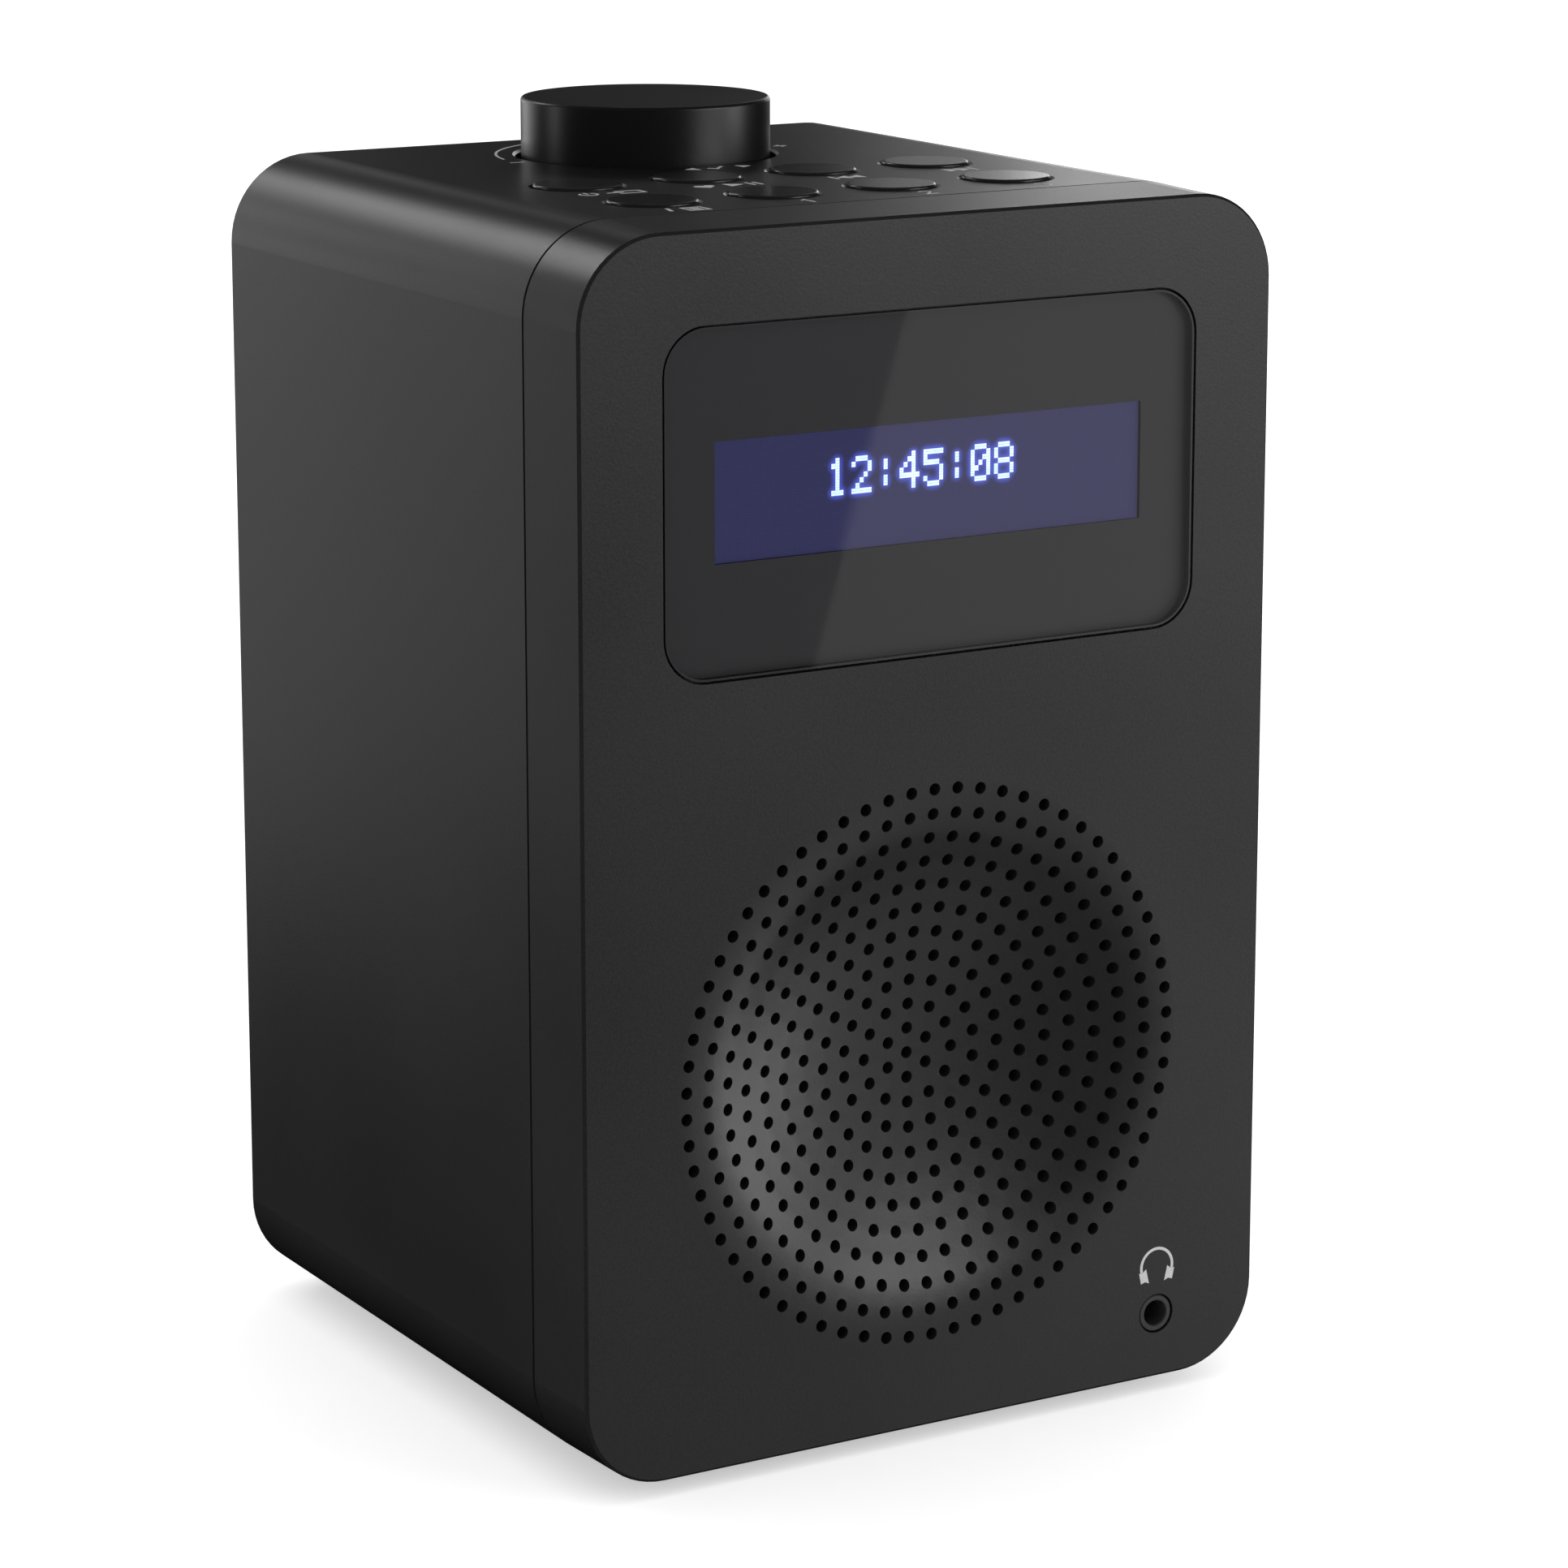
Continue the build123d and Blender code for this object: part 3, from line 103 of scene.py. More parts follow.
# %% [markdown]
# ## Helpers for meshes
#
# Every new shape here is a grid of points worked out as one numpy array. One helper joins a grid
# into quads, another puts vertices and faces into a Blender object that stands at the origin.

# %% Grid and object helpers
def grid_faces(rows, columns, close_u=False, close_v=False):
    """Quads between neighbours of a rows x columns grid: cell (i, j) joins points (i, j),
    (i + 1, j), (i + 1, j + 1) and (i, j + 1), and a closed direction wraps to its start."""
    index = np.arange(rows * columns).reshape(rows, columns)
    if close_u:
        index = np.vstack([index, index[:1]])
    if close_v:
        index = np.hstack([index, index[:, :1]])
    quads = [index[:-1, :-1], index[1:, :-1], index[1:, 1:], index[:-1, 1:]]
    return np.stack(quads, axis=-1).reshape(-1, 4)


def put(name, points, faces, material=None, smooth=False):
    """A new object at the origin, with its place in its mesh."""
    mesh = bpy.data.meshes.new(name)
    mesh.from_pydata(points.reshape(-1, 3).tolist(), [], [list(map(int, f)) for f in faces])
    mesh.update()
    mesh.polygons.foreach_set("use_smooth", np.full(len(mesh.polygons), smooth))
    piece = bpy.data.objects.new(name, mesh)
    bpy.context.scene.collection.objects.link(piece)
    if material:
        mesh.materials.append(material)
    return piece


print("mesh helpers ready")

# %% [markdown]
# ## Helpers for finishes
#
# A finish is one Principled shader. What is the same all over is set on its sockets. What varies,
# such as grain, comes from noise read at the object's own coordinates, so that it sticks to the
# part and keeps its real size. Grain could be modelled, but at a tenth of a millimetre a bump is
# enough.

# %% Node helpers
def start_finish(name, **sockets):
    """A new material with its Principled shader's sockets set by name."""
    made = bpy.data.materials.new(name)
    made.use_nodes = True
    tree = made.node_tree
    shader = tree.nodes["Principled BSDF"]
    for socket, value in sockets.items():
        shader.inputs[socket.replace("_", " ")].default_value = value
    return made, tree, shader


def add(tree, kind, inputs=(), **settings):
    """A node with its settings made and its inputs set, each to a value or to a socket."""
    made = tree.nodes.new("ShaderNode" + kind)
    for setting, value in settings.items():
        setattr(made, setting, value)
    for key, value in dict(inputs).items():
        if isinstance(value, bpy.types.NodeSocket):
            tree.links.new(value, made.inputs[key])
        else:
            made.inputs[key].default_value = value
    return made


def grey(value):
    """A neutral colour."""
    return (value, value, value, 1)


def object_place(tree, scale=(1, 1, 1)):
    """Object coordinates, stretched by a scale for each axis."""
    place = add(tree, "TexCoord").outputs["Object"]
    return add(tree, "Mapping", {"Vector": place, "Scale": scale}).outputs["Vector"]


def speckle(tree, per_metre, detail=2.0, stretch=(1, 1, 1)):
    """Noise with about per_metre lumps in each metre, stretched where asked."""
    return add(tree, "TexNoise", {
        "Vector": object_place(tree, stretch), "Scale": per_metre, "Detail": detail,
    }).outputs["Fac"]


def ramp(tree, fac, low, high, start=0.35, end=0.65):
    """A colour that runs from low to high while fac runs from start to end."""
    made = add(tree, "ValToRGB", {"Fac": fac})
    made.color_ramp.elements[0].position, made.color_ramp.elements[0].color = start, low
    made.color_ramp.elements[1].position, made.color_ramp.elements[1].color = end, high
    return made.outputs["Color"]


def spread(tree, fac, low, high):
    """A number that runs from low to high while fac runs over the middle of its range."""
    return add(tree, "MapRange", {
        "Value": fac, "From Min": 0.3, "From Max": 0.7, "To Min": low, "To Max": high,
    }).outputs["Result"]


def mix_colours(tree, fac, first, second, blend="MIX"):
    """Two colours blended by fac. A colour mix keeps its colours on sockets 6 and 7, and gives
    its result on socket 2."""
    made = add(tree, "Mix", {0: fac, 6: first, 7: second}, data_type="RGBA", blend_type=blend)
    return made.outputs[2]


def raise_bumps(tree, shader, height, depth):
    """Bumps of that depth in metres where height is one."""
    bump = add(tree, "Bump", {"Height": height, "Distance": depth})
    tree.links.new(bump.outputs["Normal"], shader.inputs["Normal"])


print("finish helpers ready")

# %% [markdown]
# ## Moulded plastics
#
# The cabinet is ABS from a spark-eroded mould, so it is charcoal, satin, and covered in a grain
# too fine to see as dots. Rubber, paper and ferrite differ only in colour, gloss and coarseness,
# so one function makes them all: two noises, a fine one for grain and a broad one for drift.

# %% Grained finishes
def grained(name, colour, gloss, lumps, depth, drift=0.12, tint=0.15, **sockets):
    """gloss is the middle roughness, lumps the grain's lumps in each metre and depth its height.
    Roughness drifts by drift, and the colour by tint as a share of itself."""
    made, tree, shader = start_finish(name, **sockets)
    fine = speckle(tree, lumps, 3)
    broad = speckle(tree, 18)
    low = [c * (1 - tint) for c in colour] + [1]
    high = [c * (1 + tint) for c in colour] + [1]
    summed = add(tree, "Math", {0: fine, 1: broad}, operation="ADD").outputs[0]
    mean = add(tree, "Math", {0: summed, 1: 0.5}, operation="MULTIPLY").outputs[0]
    tree.links.new(ramp(tree, mean, low, high), shader.inputs["Base Color"])
    tree.links.new(
        spread(tree, mean, gloss * (1 - drift), gloss * (1 + drift)), shader.inputs["Roughness"])
    raise_bumps(tree, shader, fine, depth)
    return made


finishes = {
    "cabinet_plastic": grained("cabinet_plastic", (0.0115, 0.0115, 0.012), 0.33, 2600, 1.2e-5),
    "button_plastic": grained("button_plastic", (0.012, 0.012, 0.0125), 0.24, 3200, 0.6e-5),
    "knob_plastic": grained("knob_plastic", (0.0065, 0.0065, 0.0068), 0.33, 3200, 0.6e-5),
    "socket_plastic": grained("socket_plastic", (0.022, 0.022, 0.023), 0.30, 2200, 1e-5),
    "rubber": grained("rubber", (0.02, 0.02, 0.02), 0.78, 1500, 3e-5),
    "tape": grained("tape", (0.03, 0.03, 0.03), 0.7, 900, 2e-5),
    "cone_paper": grained("cone_paper", (0.02, 0.019, 0.018), 0.86, 1100, 6e-5, tint=0.4),
    "ferrite": grained("ferrite", (0.045, 0.045, 0.05), 0.55, 1400, 3e-5, tint=0.25),
    "light_guide": grained(
        "light_guide", (0.75, 0.76, 0.8), 0.2, 600, 1e-5, Transmission_Weight=0.3),
}
print("grained finishes:", ", ".join(finishes))

# %% [markdown]
# ## Metals
#
# Turned, plated and drawn metals show fine lines along the way they were worked. Noise squeezed
# hard along one axis gives such lines. The antenna's tubes are polished and chromed, so their
# lines are faint, and zinc plate has soft clouds of grey as well. The lines and a thin haze
# scatter some of the light, so a part of each finish isn't a mirror.

# %% Metal finishes
METAL_SHARE = 0.75


def worked_metal(name, colour, gloss, stretch, depth, clouds=0.12):
    """Lines run along the axis whose stretch is smallest, the roughness wanders about gloss, and
    clouds is the share by which the colour drifts over about ten millimetres."""
    made, tree, shader = start_finish(name, Metallic=METAL_SHARE)
    lines = speckle(tree, 1.0, 3, stretch)
    cloud = speckle(tree, 110)
    low = [c * (1 - clouds) for c in colour] + [1]
    tree.links.new(ramp(tree, cloud, low, [*colour, 1]), shader.inputs["Base Color"])
    tree.links.new(spread(tree, lines, gloss * 0.7, gloss * 1.35), shader.inputs["Roughness"])
    raise_bumps(tree, shader, lines, depth)
    return made


finishes.update({
    "zinc_steel": worked_metal("zinc_steel", (0.62, 0.63, 0.65), 0.34, (2500, 60, 2500), 6e-6),
    "black_steel": worked_metal("black_steel", (0.03, 0.03, 0.032), 0.45, (300, 4000, 4000), 5e-6),
    "nickel": worked_metal("nickel", (0.68, 0.66, 0.61), 0.24, (90, 4000, 4000), 4e-6),
    "antenna_chrome": worked_metal(
        "antenna_chrome", (0.8, 0.81, 0.83), 0.1, (3800, 3800, 40), 2e-6),
    "heatsink_aluminium": worked_metal(
        "heatsink_aluminium", (0.78, 0.79, 0.8), 0.38, (60, 3600, 3600), 6e-6),
})
print("metal finishes made, now", len(finishes))

# %% [markdown]
# ## Wound, woven, printed and layered things
#
# Copper wire lies in turns, spider cloth is woven, a ribbon carries parallel strips and a circuit
# board shows its copper under green lacquer. Each is a repeating pattern with a known pitch, so
# waves and bricks say it better than noise does.

# %% Patterned finishes
WAVE_UNIT = 3.183           # bands of a wave texture of scale one in each unit of length


def banded(name, axis, pitch, low, high, gloss, depth, metallic=0.0):
    """Bands across one axis: a sine of the place along it with the given pitch in metres."""
    made, tree, shader = start_finish(name, Metallic=metallic)
    band = add(tree, "TexWave", {
        "Vector": object_place(tree), "Scale": 1 / pitch / WAVE_UNIT, "Distortion": 0.15,
        "Detail": 1.0,
    }, bands_direction=axis).outputs["Fac"]
    tree.links.new(ramp(tree, band, [*low, 1], [*high, 1], 0.2, 0.8), shader.inputs["Base Color"])
    tree.links.new(spread(tree, speckle(tree, 700), gloss * 0.8, gloss * 1.2),
                   shader.inputs["Roughness"])
    raise_bumps(tree, shader, band, depth)
    return made


def woven(name, colour, pitch, depth):
    """Two crossed sets of bands: the height is the larger of the two sines."""
    made, tree, shader = start_finish(name, Sheen_Weight=0.3)
    sets = [add(tree, "TexWave", {
        "Vector": object_place(tree), "Scale": 1 / pitch / WAVE_UNIT, "Distortion": 0.2,
    }, bands_direction=way).outputs["Fac"] for way in ("X", "Z")]
    cloth = add(tree, "Math", {0: sets[0], 1: sets[1]}, operation="MAXIMUM").outputs[0]
    low = [c * 0.45 for c in colour] + [1]
    tree.links.new(ramp(tree, cloth, low, [*colour, 1], 0.2, 0.9), shader.inputs["Base Color"])
    tree.links.new(spread(tree, cloth, 0.95, 0.7), shader.inputs["Roughness"])
    raise_bumps(tree, shader, cloth, depth)
    return made


def lacquered_board(name, pitch):
    """Green lacquer over copper: cells of a brick pattern stand for tracks, and round pads show
    where the distance to the nearest cell centre is small."""
    pad_metal = (0.55, 0.52, 0.42, 1)
    made, tree, shader = start_finish(name, Coat_Weight=0.3)
    place = object_place(tree, (1 / pitch, 1 / pitch, 1 / pitch))
    tracks = add(tree, "TexBrick", {
        "Vector": place, "Scale": 1.0, "Mortar Size": 0.12, "Color1": (0.004, 0.05, 0.02, 1),
        "Color2": (0.006, 0.065, 0.028, 1), "Mortar": (0.012, 0.12, 0.05, 1),
    }).outputs["Color"]
    pads = add(tree, "TexVoronoi", {"Vector": place, "Scale": 0.35}).outputs["Distance"]
    is_pad = add(tree, "Math", {0: pads, 1: 0.14}, operation="LESS_THAN").outputs[0]
    tree.links.new(mix_colours(tree, is_pad, tracks, pad_metal), shader.inputs["Base Color"])
    tree.links.new(spread(tree, pads, 0.25, 0.4), shader.inputs["Roughness"])
    raise_bumps(tree, shader, is_pad, 2e-5)
    return made


finishes.update({
    "copper": banded("copper", "Y", 0.25 * MM, (0.35, 0.12, 0.05), (0.86, 0.36, 0.18),
                     0.3, 4e-5, 1.0),
    "spider_cloth": woven("spider_cloth", (0.5, 0.33, 0.12), 0.7 * MM, 8e-5),
    "ribbon_film": banded("ribbon_film", "X", 1.0 * MM, (0.45, 0.4, 0.3), (0.75, 0.74, 0.7),
                          0.35, 2e-5),
    "wire_sleeve": grained("wire_sleeve", (0.35, 0.02, 0.015), 0.4, 900, 1e-5),
    "circuit_board": lacquered_board("circuit_board", 1.3 * MM),
})
print("patterned finishes made, now", len(finishes))

# %% [markdown]
# ## Clear parts
#
# The window is one clear moulding with gloss on its face. Glass could be traced with refraction,
# but through a millimetre of flat plastic nothing bends enough to see, so the light that isn't
# reflected goes straight through. How much is reflected follows the angle, by Schlick's short form
# of Fresnel's law, which is the same on the way in and on the way out.

# %% Window and glass
def clear_cover(name, straight_on, gloss, tint):
    """Part mirror, part clear. The mirror's share is straight_on where the surface is seen
    straight on, and rises to one at its rim with the fifth power of one minus the cosine."""
    made = bpy.data.materials.new(name)
    made.use_nodes = True
    tree = made.node_tree
    tree.nodes.remove(tree.nodes["Principled BSDF"])
    wiped = spread(tree, speckle(tree, 45, 4), gloss * 0.5, gloss * 1.5)
    mirror = add(tree, "BsdfGlossy", {"Roughness": wiped, "Color": grey(1)})
    clear = add(tree, "BsdfTransparent", {"Color": tint})
    slant = add(tree, "LayerWeight", {"Blend": 0.5}).outputs["Facing"]
    fifth = add(tree, "Math", {0: slant, 1: 5.0}, operation="POWER").outputs[0]
    share = add(tree, "MapRange", {"Value": fifth, "To Min": straight_on}).outputs["Result"]
    both = add(tree, "MixShader", {0: share, 1: clear.outputs[0], 2: mirror.outputs[0]})
    tree.links.new(both.outputs[0], tree.nodes["Material Output"].inputs["Surface"])
    return made


finishes["window"] = clear_cover("window", 0.038, 0.03, (0.93, 0.93, 0.95, 1))
finishes["screen_glass"] = grained("screen_glass", (0.012, 0.012, 0.03), 0.12, 300, 4e-6)
print("clear finishes made, now", len(finishes))

# %% [markdown]
# ## Dress the parts
#
# The record says which material slot each part belongs to. A part keeps its mesh and gets the
# finish of its slot.

# %% Dress
worn = {row["node"]: row["material_slot"] for row in frame["record"]["subparts"]}
for name, part in nodes.items():
    part.data.materials.clear()
    part.data.materials.append(finishes[worn[name]])
print(len(nodes), "parts dressed in", len(set(worn.values())), "finishes")

# %% [markdown]
# ## Printed marks
#
# The marks beside the controls are pad printed in pale grey ink, about a thirtieth of a millimetre
# thick. They could be painted by a material, but ink with edges of its own stays sharp at any
# distance. A mark is drawn flat, in millimetres about its own middle, out of two kinds of shape:
# filled outlines, and bands carried along a path.

# %% Shapes in the plane
INK_THICKNESS = 0.03


def filled(outline):
    """A flat solid over an outline that runs anticlockwise: the outline at the base, again at
    the ink's height, and a quad for each edge between them."""
    outline = np.asarray(outline, float)
    count = len(outline)
    base = np.column_stack([outline, np.zeros(count)])
    points = np.vstack([base, base + [0, 0, INK_THICKNESS]])
    ring = np.arange(count)
    after = np.roll(ring, -1)
    sides = np.column_stack([ring, after, after + count, ring + count]).tolist()
    return points, [list(ring[::-1]), list(ring + count), *sides]


def band(path, width, closed=False):
    """A rectangular section carried along a path: at each point its corners stand half a width
    to each side, along the bisector of the path's two directions there, stretched by one over
    the cosine of half the turn so that the width stays true."""
    path = np.asarray(path, float)
    ahead, behind = np.roll(path, -1, 0) - path, path - np.roll(path, 1, 0)
    if not closed:
        ahead[-1], behind[0] = behind[-1], ahead[0]
    ahead /= np.linalg.norm(ahead, axis=1, keepdims=True)
    behind /= np.linalg.norm(behind, axis=1, keepdims=True)
    along = ahead + behind
    along /= np.linalg.norm(along, axis=1, keepdims=True)
    stretch = 1 / np.clip((along * ahead).sum(1), 0.4, 1)
    side = np.column_stack([-along[:, 1], along[:, 0]])
    half = (np.broadcast_to(width, len(path)) / 2 * stretch)[:, None]
    left, right = path + side * half, path - side * half
    heights = np.array([0, 0, INK_THICKNESS, INK_THICKNESS])
    flat = np.stack([left, right, right, left], axis=1)
    points = np.dstack([flat, np.broadcast_to(heights, flat.shape[:2])])
    faces = grid_faces(len(path), 4, close_u=closed, close_v=True).tolist()
    if not closed:
        last = (len(path) - 1) * 4
        faces += [[0, 1, 2, 3], [last + 3, last + 2, last + 1, last]]
    return points.reshape(-1, 3), faces


def moved(shape, x=0.0, y=0.0, lean=0.0):
    """The shape turned by lean degrees about its own middle, then moved."""
    points, faces = shape
    c, s = math.cos(math.radians(lean)), math.sin(math.radians(lean))
    turned = points @ np.array([[c, s, 0], [-s, c, 0], [0, 0, 1]])
    return turned + [x, y, 0], faces


def arc(radius, start, end, count=24):
    """Points on a circle between two angles in degrees."""
    angles = np.radians(np.linspace(start, end, count))
    return np.column_stack([np.cos(angles), np.sin(angles)]) * radius


def arrowhead(width, height, sign=1):
    """A triangle that points along +X, or along -X where sign is -1."""
    outline = np.array([[-width / 2, -height / 2], [width / 2, 0], [-width / 2, height / 2]])
    return filled(outline if sign > 0 else (outline * [-1, 1])[::-1])


def bar(width, height):
    """An upright rectangle."""
    return filled(np.array([[-1, -1], [1, -1], [1, 1], [-1, 1]]) * [width / 2, height / 2])


print("ink shapes ready")

# %% [markdown]
# The ink itself is a little rough and not quite even, as print on a grained surface is.

# %% Ink
ink = grained("mark_ink", (0.38, 0.38, 0.385), 0.6, 2600, 0.8e-5, tint=0.08)
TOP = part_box("rear_cabinet")[1].z / MM
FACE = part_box("front_cabinet")[0].y / MM


def lay_on_top(points):
    """Marks on the top: x to the right, y towards the back, ink upwards."""
    return np.column_stack([points[:, 0], points[:, 1], TOP + points[:, 2]]) * MM


def lay_on_face(points):
    """Marks on the face: x to the right, y upwards, ink towards the viewer."""
    return np.column_stack([points[:, 0], FACE - points[:, 2], points[:, 1]]) * MM


def print_mark(name, shapes, lay):
    """One piece out of several shapes, with their face numbers shifted past each other."""
    points = np.vstack([shape[0] for shape in shapes])
    starts = np.cumsum([0] + [len(shape[0]) for shape in shapes[:-1]])
    faces = [[i + start for i in face] for start, shape in zip(starts, shapes) for face in shape[1]]
    piece = put(name, lay(points), faces, ink)
    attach(piece, "cabinet")
    return piece


print("the top is at", round(TOP, 2), "mm and the face at", round(FACE, 2), "mm")

# %% [markdown]
# ## Marks beside the buttons
#
# Each button has its marks just in front of it: power and source, heart and play, back, forward,
# information and list, and three numbers. Curved ones come from formulas, and the heart is the
# classic one in sines and cosines.

# %% Button marks
MARK_HEIGHT = 2.9
MARK_LINE = 0.34
MARK_AHEAD = 9.25           # from a button's centre forwards to its marks
PAUSE_LINE = 0.42           # width of an upright bar in play, pause and skip marks
PAGE_LINE = 0.28


def beside(button, x=0.0):
    """A mark's place in front of a button, x to the right of its centre."""
    low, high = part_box(button)
    return {
        "x": (low.x + high.x) / 2 / MM + x,
        "y": (low.y + high.y) / 2 / MM - MARK_AHEAD,
    }


def heart(height):
    """x = 16 sin^3 t and y = 13 cos t - 5 cos 2t - 2 cos 3t - cos 4t, scaled to a height."""
    t = np.linspace(0, 2 * np.pi, 40, endpoint=False)[::-1]
    x = 16 * np.sin(t) ** 3
    y = 13 * np.cos(t) - 5 * np.cos(2 * t) - 2 * np.cos(3 * t) - np.cos(4 * t)
    return filled(np.column_stack([x, y]) * height / 29)


half = MARK_HEIGHT / 2
print_mark("power_mark", [
    moved(band(arc(half * 0.85, 130, 410), MARK_LINE), **beside("power_button", x=-3.3)),
    moved(bar(MARK_LINE, half), y=beside("power_button")["y"] + half * 0.6,
          x=beside("power_button", x=-3.3)["x"]),
], lay_on_top)
source = beside("power_button", x=2.5)
print_mark("source_mark", [
    moved(band([(-half, -half * 0.8), (2.3, -half * 0.8), (2.3, half * 0.8), (-half, half * 0.8)],
               MARK_LINE), **source),
    moved(bar(2.2, MARK_LINE), source["x"] - 1.9, source["y"]),
    moved(arrowhead(1.1, 1.5), source["x"] - 0.9, source["y"]),
], lay_on_top)
print_mark("favourite_mark", [moved(heart(MARK_HEIGHT * 0.95), **beside("play_button", x=-3.9))],
           lay_on_top)
print_mark("play_mark", [
    moved(arrowhead(2.6, MARK_HEIGHT), **beside("play_button", x=0.8)),
    moved(bar(PAUSE_LINE, MARK_HEIGHT), **beside("play_button", x=3.1)),
    moved(bar(PAUSE_LINE, MARK_HEIGHT), **beside("play_button", x=4.3)),
], lay_on_top)
for button, sign in (("previous_button", -1), ("next_button", 1)):
    print_mark(button.replace("button", "mark"), [
        moved(arrowhead(2.0, MARK_HEIGHT, sign), **beside(button, x=-sign * 1.4)),
        moved(arrowhead(2.0, MARK_HEIGHT, sign), **beside(button, x=sign * 0.6)),
        moved(bar(PAUSE_LINE, MARK_HEIGHT), **beside(button, x=sign * 2.1)),
    ], lay_on_top)
print_mark("information_mark", [
    moved(bar(0.5, MARK_HEIGHT * 0.62), **{**beside("menu_button", x=-2.5), "lean": -14}),
    moved(filled(arc(0.34, 0, 345, 16)), beside("menu_button", x=-2.1)["x"],
          beside("menu_button")["y"] + half * 1.05),
], lay_on_top)
page = beside("menu_button", x=1.3)
print_mark("list_mark", [
    moved(band(np.array([(-1, -1), (1, -1), (1, 1), (-1, 1)]) * half, MARK_LINE, True), **page),
    *[moved(bar(1.7, PAGE_LINE), page["x"], page["y"] + rise) for rise in (-0.65, 0, 0.65)],
], lay_on_top)
numerals = {
    "1": [band([(-0.7, half * 0.5), (0.1, half), (0.1, -half)], MARK_LINE)],
    "2": [band(np.vstack([arc(0.78, 160, -35) + [0, half - 0.78], [(-0.85, -half), (0.95, -half)]]),
               MARK_LINE)],
    "3": [band(np.vstack([arc(0.72, 150, -90, 14) + [0, half - 0.72],
                          arc(0.76, 90, -150, 14) + [0, -half + 0.76]]), MARK_LINE)],
}
for figure, shapes in numerals.items():
    button = f"preset_{figure}_button"
    print_mark(f"numeral_{figure}", [moved(s, **beside(button)) for s in shapes], lay_on_top)
print("button marks printed,", MARK_HEIGHT, "mm high")

# %% [markdown]
# ## Marks round the knob
#
# An arc round the back of the knob swells from the minus to the plus, and in front of the knob
# two arrowheads and a tick say what turning and pressing do.

# %% Knob marks
SWELL_RADIUS = 21.5         # from the knob's axis to the arc, and to the hints in front
SIGN_LENGTH = 2.2           # of the minus and of the plus
SIGN_AHEAD = 1.4            # the signs stand this far in front of the knob's axis
knob_low, knob_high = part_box("tuning_knob")
knob_x, knob_y = ((knob_low + knob_high) / 2 / MM)[:2]
swell_path = arc(SWELL_RADIUS, 172, 8, 72) + [knob_x, knob_y]
print_mark("volume_arc", [band(swell_path[::-1], np.linspace(1.0, 0.3, 72))], lay_on_top)
sign_y = knob_y - SIGN_AHEAD
print_mark("less_mark", [
    moved(bar(SIGN_LENGTH, MARK_LINE), knob_x - SWELL_RADIUS, sign_y)], lay_on_top)
arm = (SIGN_LENGTH - MARK_LINE) / 2
print_mark("more_mark", [
    moved(bar(SIGN_LENGTH, MARK_LINE), knob_x + SWELL_RADIUS, sign_y),
    moved(bar(MARK_LINE, arm), knob_x + SWELL_RADIUS, sign_y + (arm + MARK_LINE) / 2),
    moved(bar(MARK_LINE, arm), knob_x + SWELL_RADIUS, sign_y - (arm + MARK_LINE) / 2),
], lay_on_top)
hint_y = knob_y - SWELL_RADIUS
print_mark("turn_back_mark", [moved(arrowhead(1.9, 2.6, -1), knob_x - 4.6, hint_y)], lay_on_top)
print_mark("turn_on_mark", [moved(arrowhead(1.9, 2.6), knob_x + 4.0, hint_y)], lay_on_top)
print_mark("tick_mark", [
    moved(band([(-1.4, 0.1), (-0.5, -1.0), (1.5, 1.3)], 0.5), knob_x - 0.5, hint_y)], lay_on_top)
print("the volume arc's middle is at", round(knob_x, 1), round(knob_y, 1))

# %% [markdown]
# ## The headphone mark
#
# Above the socket a pair of headphones is printed: a thin head band and two ear pads that lean
# outwards. The inner edge of each pad is the longer one, with pointed ends.

# %% Headphone mark
HEAD_RADIUS = 2.6
HEAD_LINE = 0.42
HEAD_ABOVE = 6.95           # from the socket's centre up to the middle of the head band
PAD_BELOW = 1.35
PAD_LEAN = 12
socket_low, socket_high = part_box("jack_sleeve")
socket_x = (socket_low.x + socket_high.x) / 2 / MM
socket_z = (socket_low.z + socket_high.z) / 2 / MM
head_z = socket_z + HEAD_ABOVE
pad = np.array([
    (-0.62, -0.78), (0.1, -0.72), (0.68, -1.12), (0.62, 1.08), (0.05, 0.78), (-0.62, 0.86)])
pad_x, pad_z = HEAD_RADIUS - HEAD_LINE, head_z - PAD_BELOW
print_mark("headphone_mark", [
    moved(band(arc(HEAD_RADIUS, -14, 194, 40), HEAD_LINE), socket_x, head_z),
    moved(filled(pad), socket_x - pad_x, pad_z, PAD_LEAN),
    moved(filled((pad * [-1, 1])[::-1]), socket_x + pad_x, pad_z, -PAD_LEAN),
], lay_on_face)
print("headphone mark above the socket at", round(socket_x, 1), round(socket_z, 1))

# %% [markdown]
# ## The display
#
# Behind the window are three layers. Black print on the window's inner face hides everything but
# the picture area. Under it the screen is a blue-violet field with a fine lattice of dots, and the
# lit dots form characters that glow into the field around them.

# %% Display sizes
window_low, window_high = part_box("display_window")
screen_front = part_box("lcd_panel")[0].y / MM
window_x = (window_low.x + window_high.x) / 2 / MM
window_z = (window_low.z + window_high.z) / 2 / MM
PICTURE_WIDTH, PICTURE_HEIGHT = 66.2, 16.1
DOT_PITCH = (0.308, 0.357)


def rounded(width, height, corner, per_corner=12):
    """A rectangle's outline with round corners: quarter circles about its four corner centres."""
    quarters = [arc(corner, start, start + 90, per_corner) for start in (-90, 0, 90, 180)]
    places = np.array([(1, -1), (1, 1), (-1, 1), (-1, -1)]) * [
        width / 2 - corner, height / 2 - corner]
    return np.vstack([quarter + place for quarter, place in zip(quarters, places)])


print("picture area", PICTURE_WIDTH, "x", PICTURE_HEIGHT, "mm")

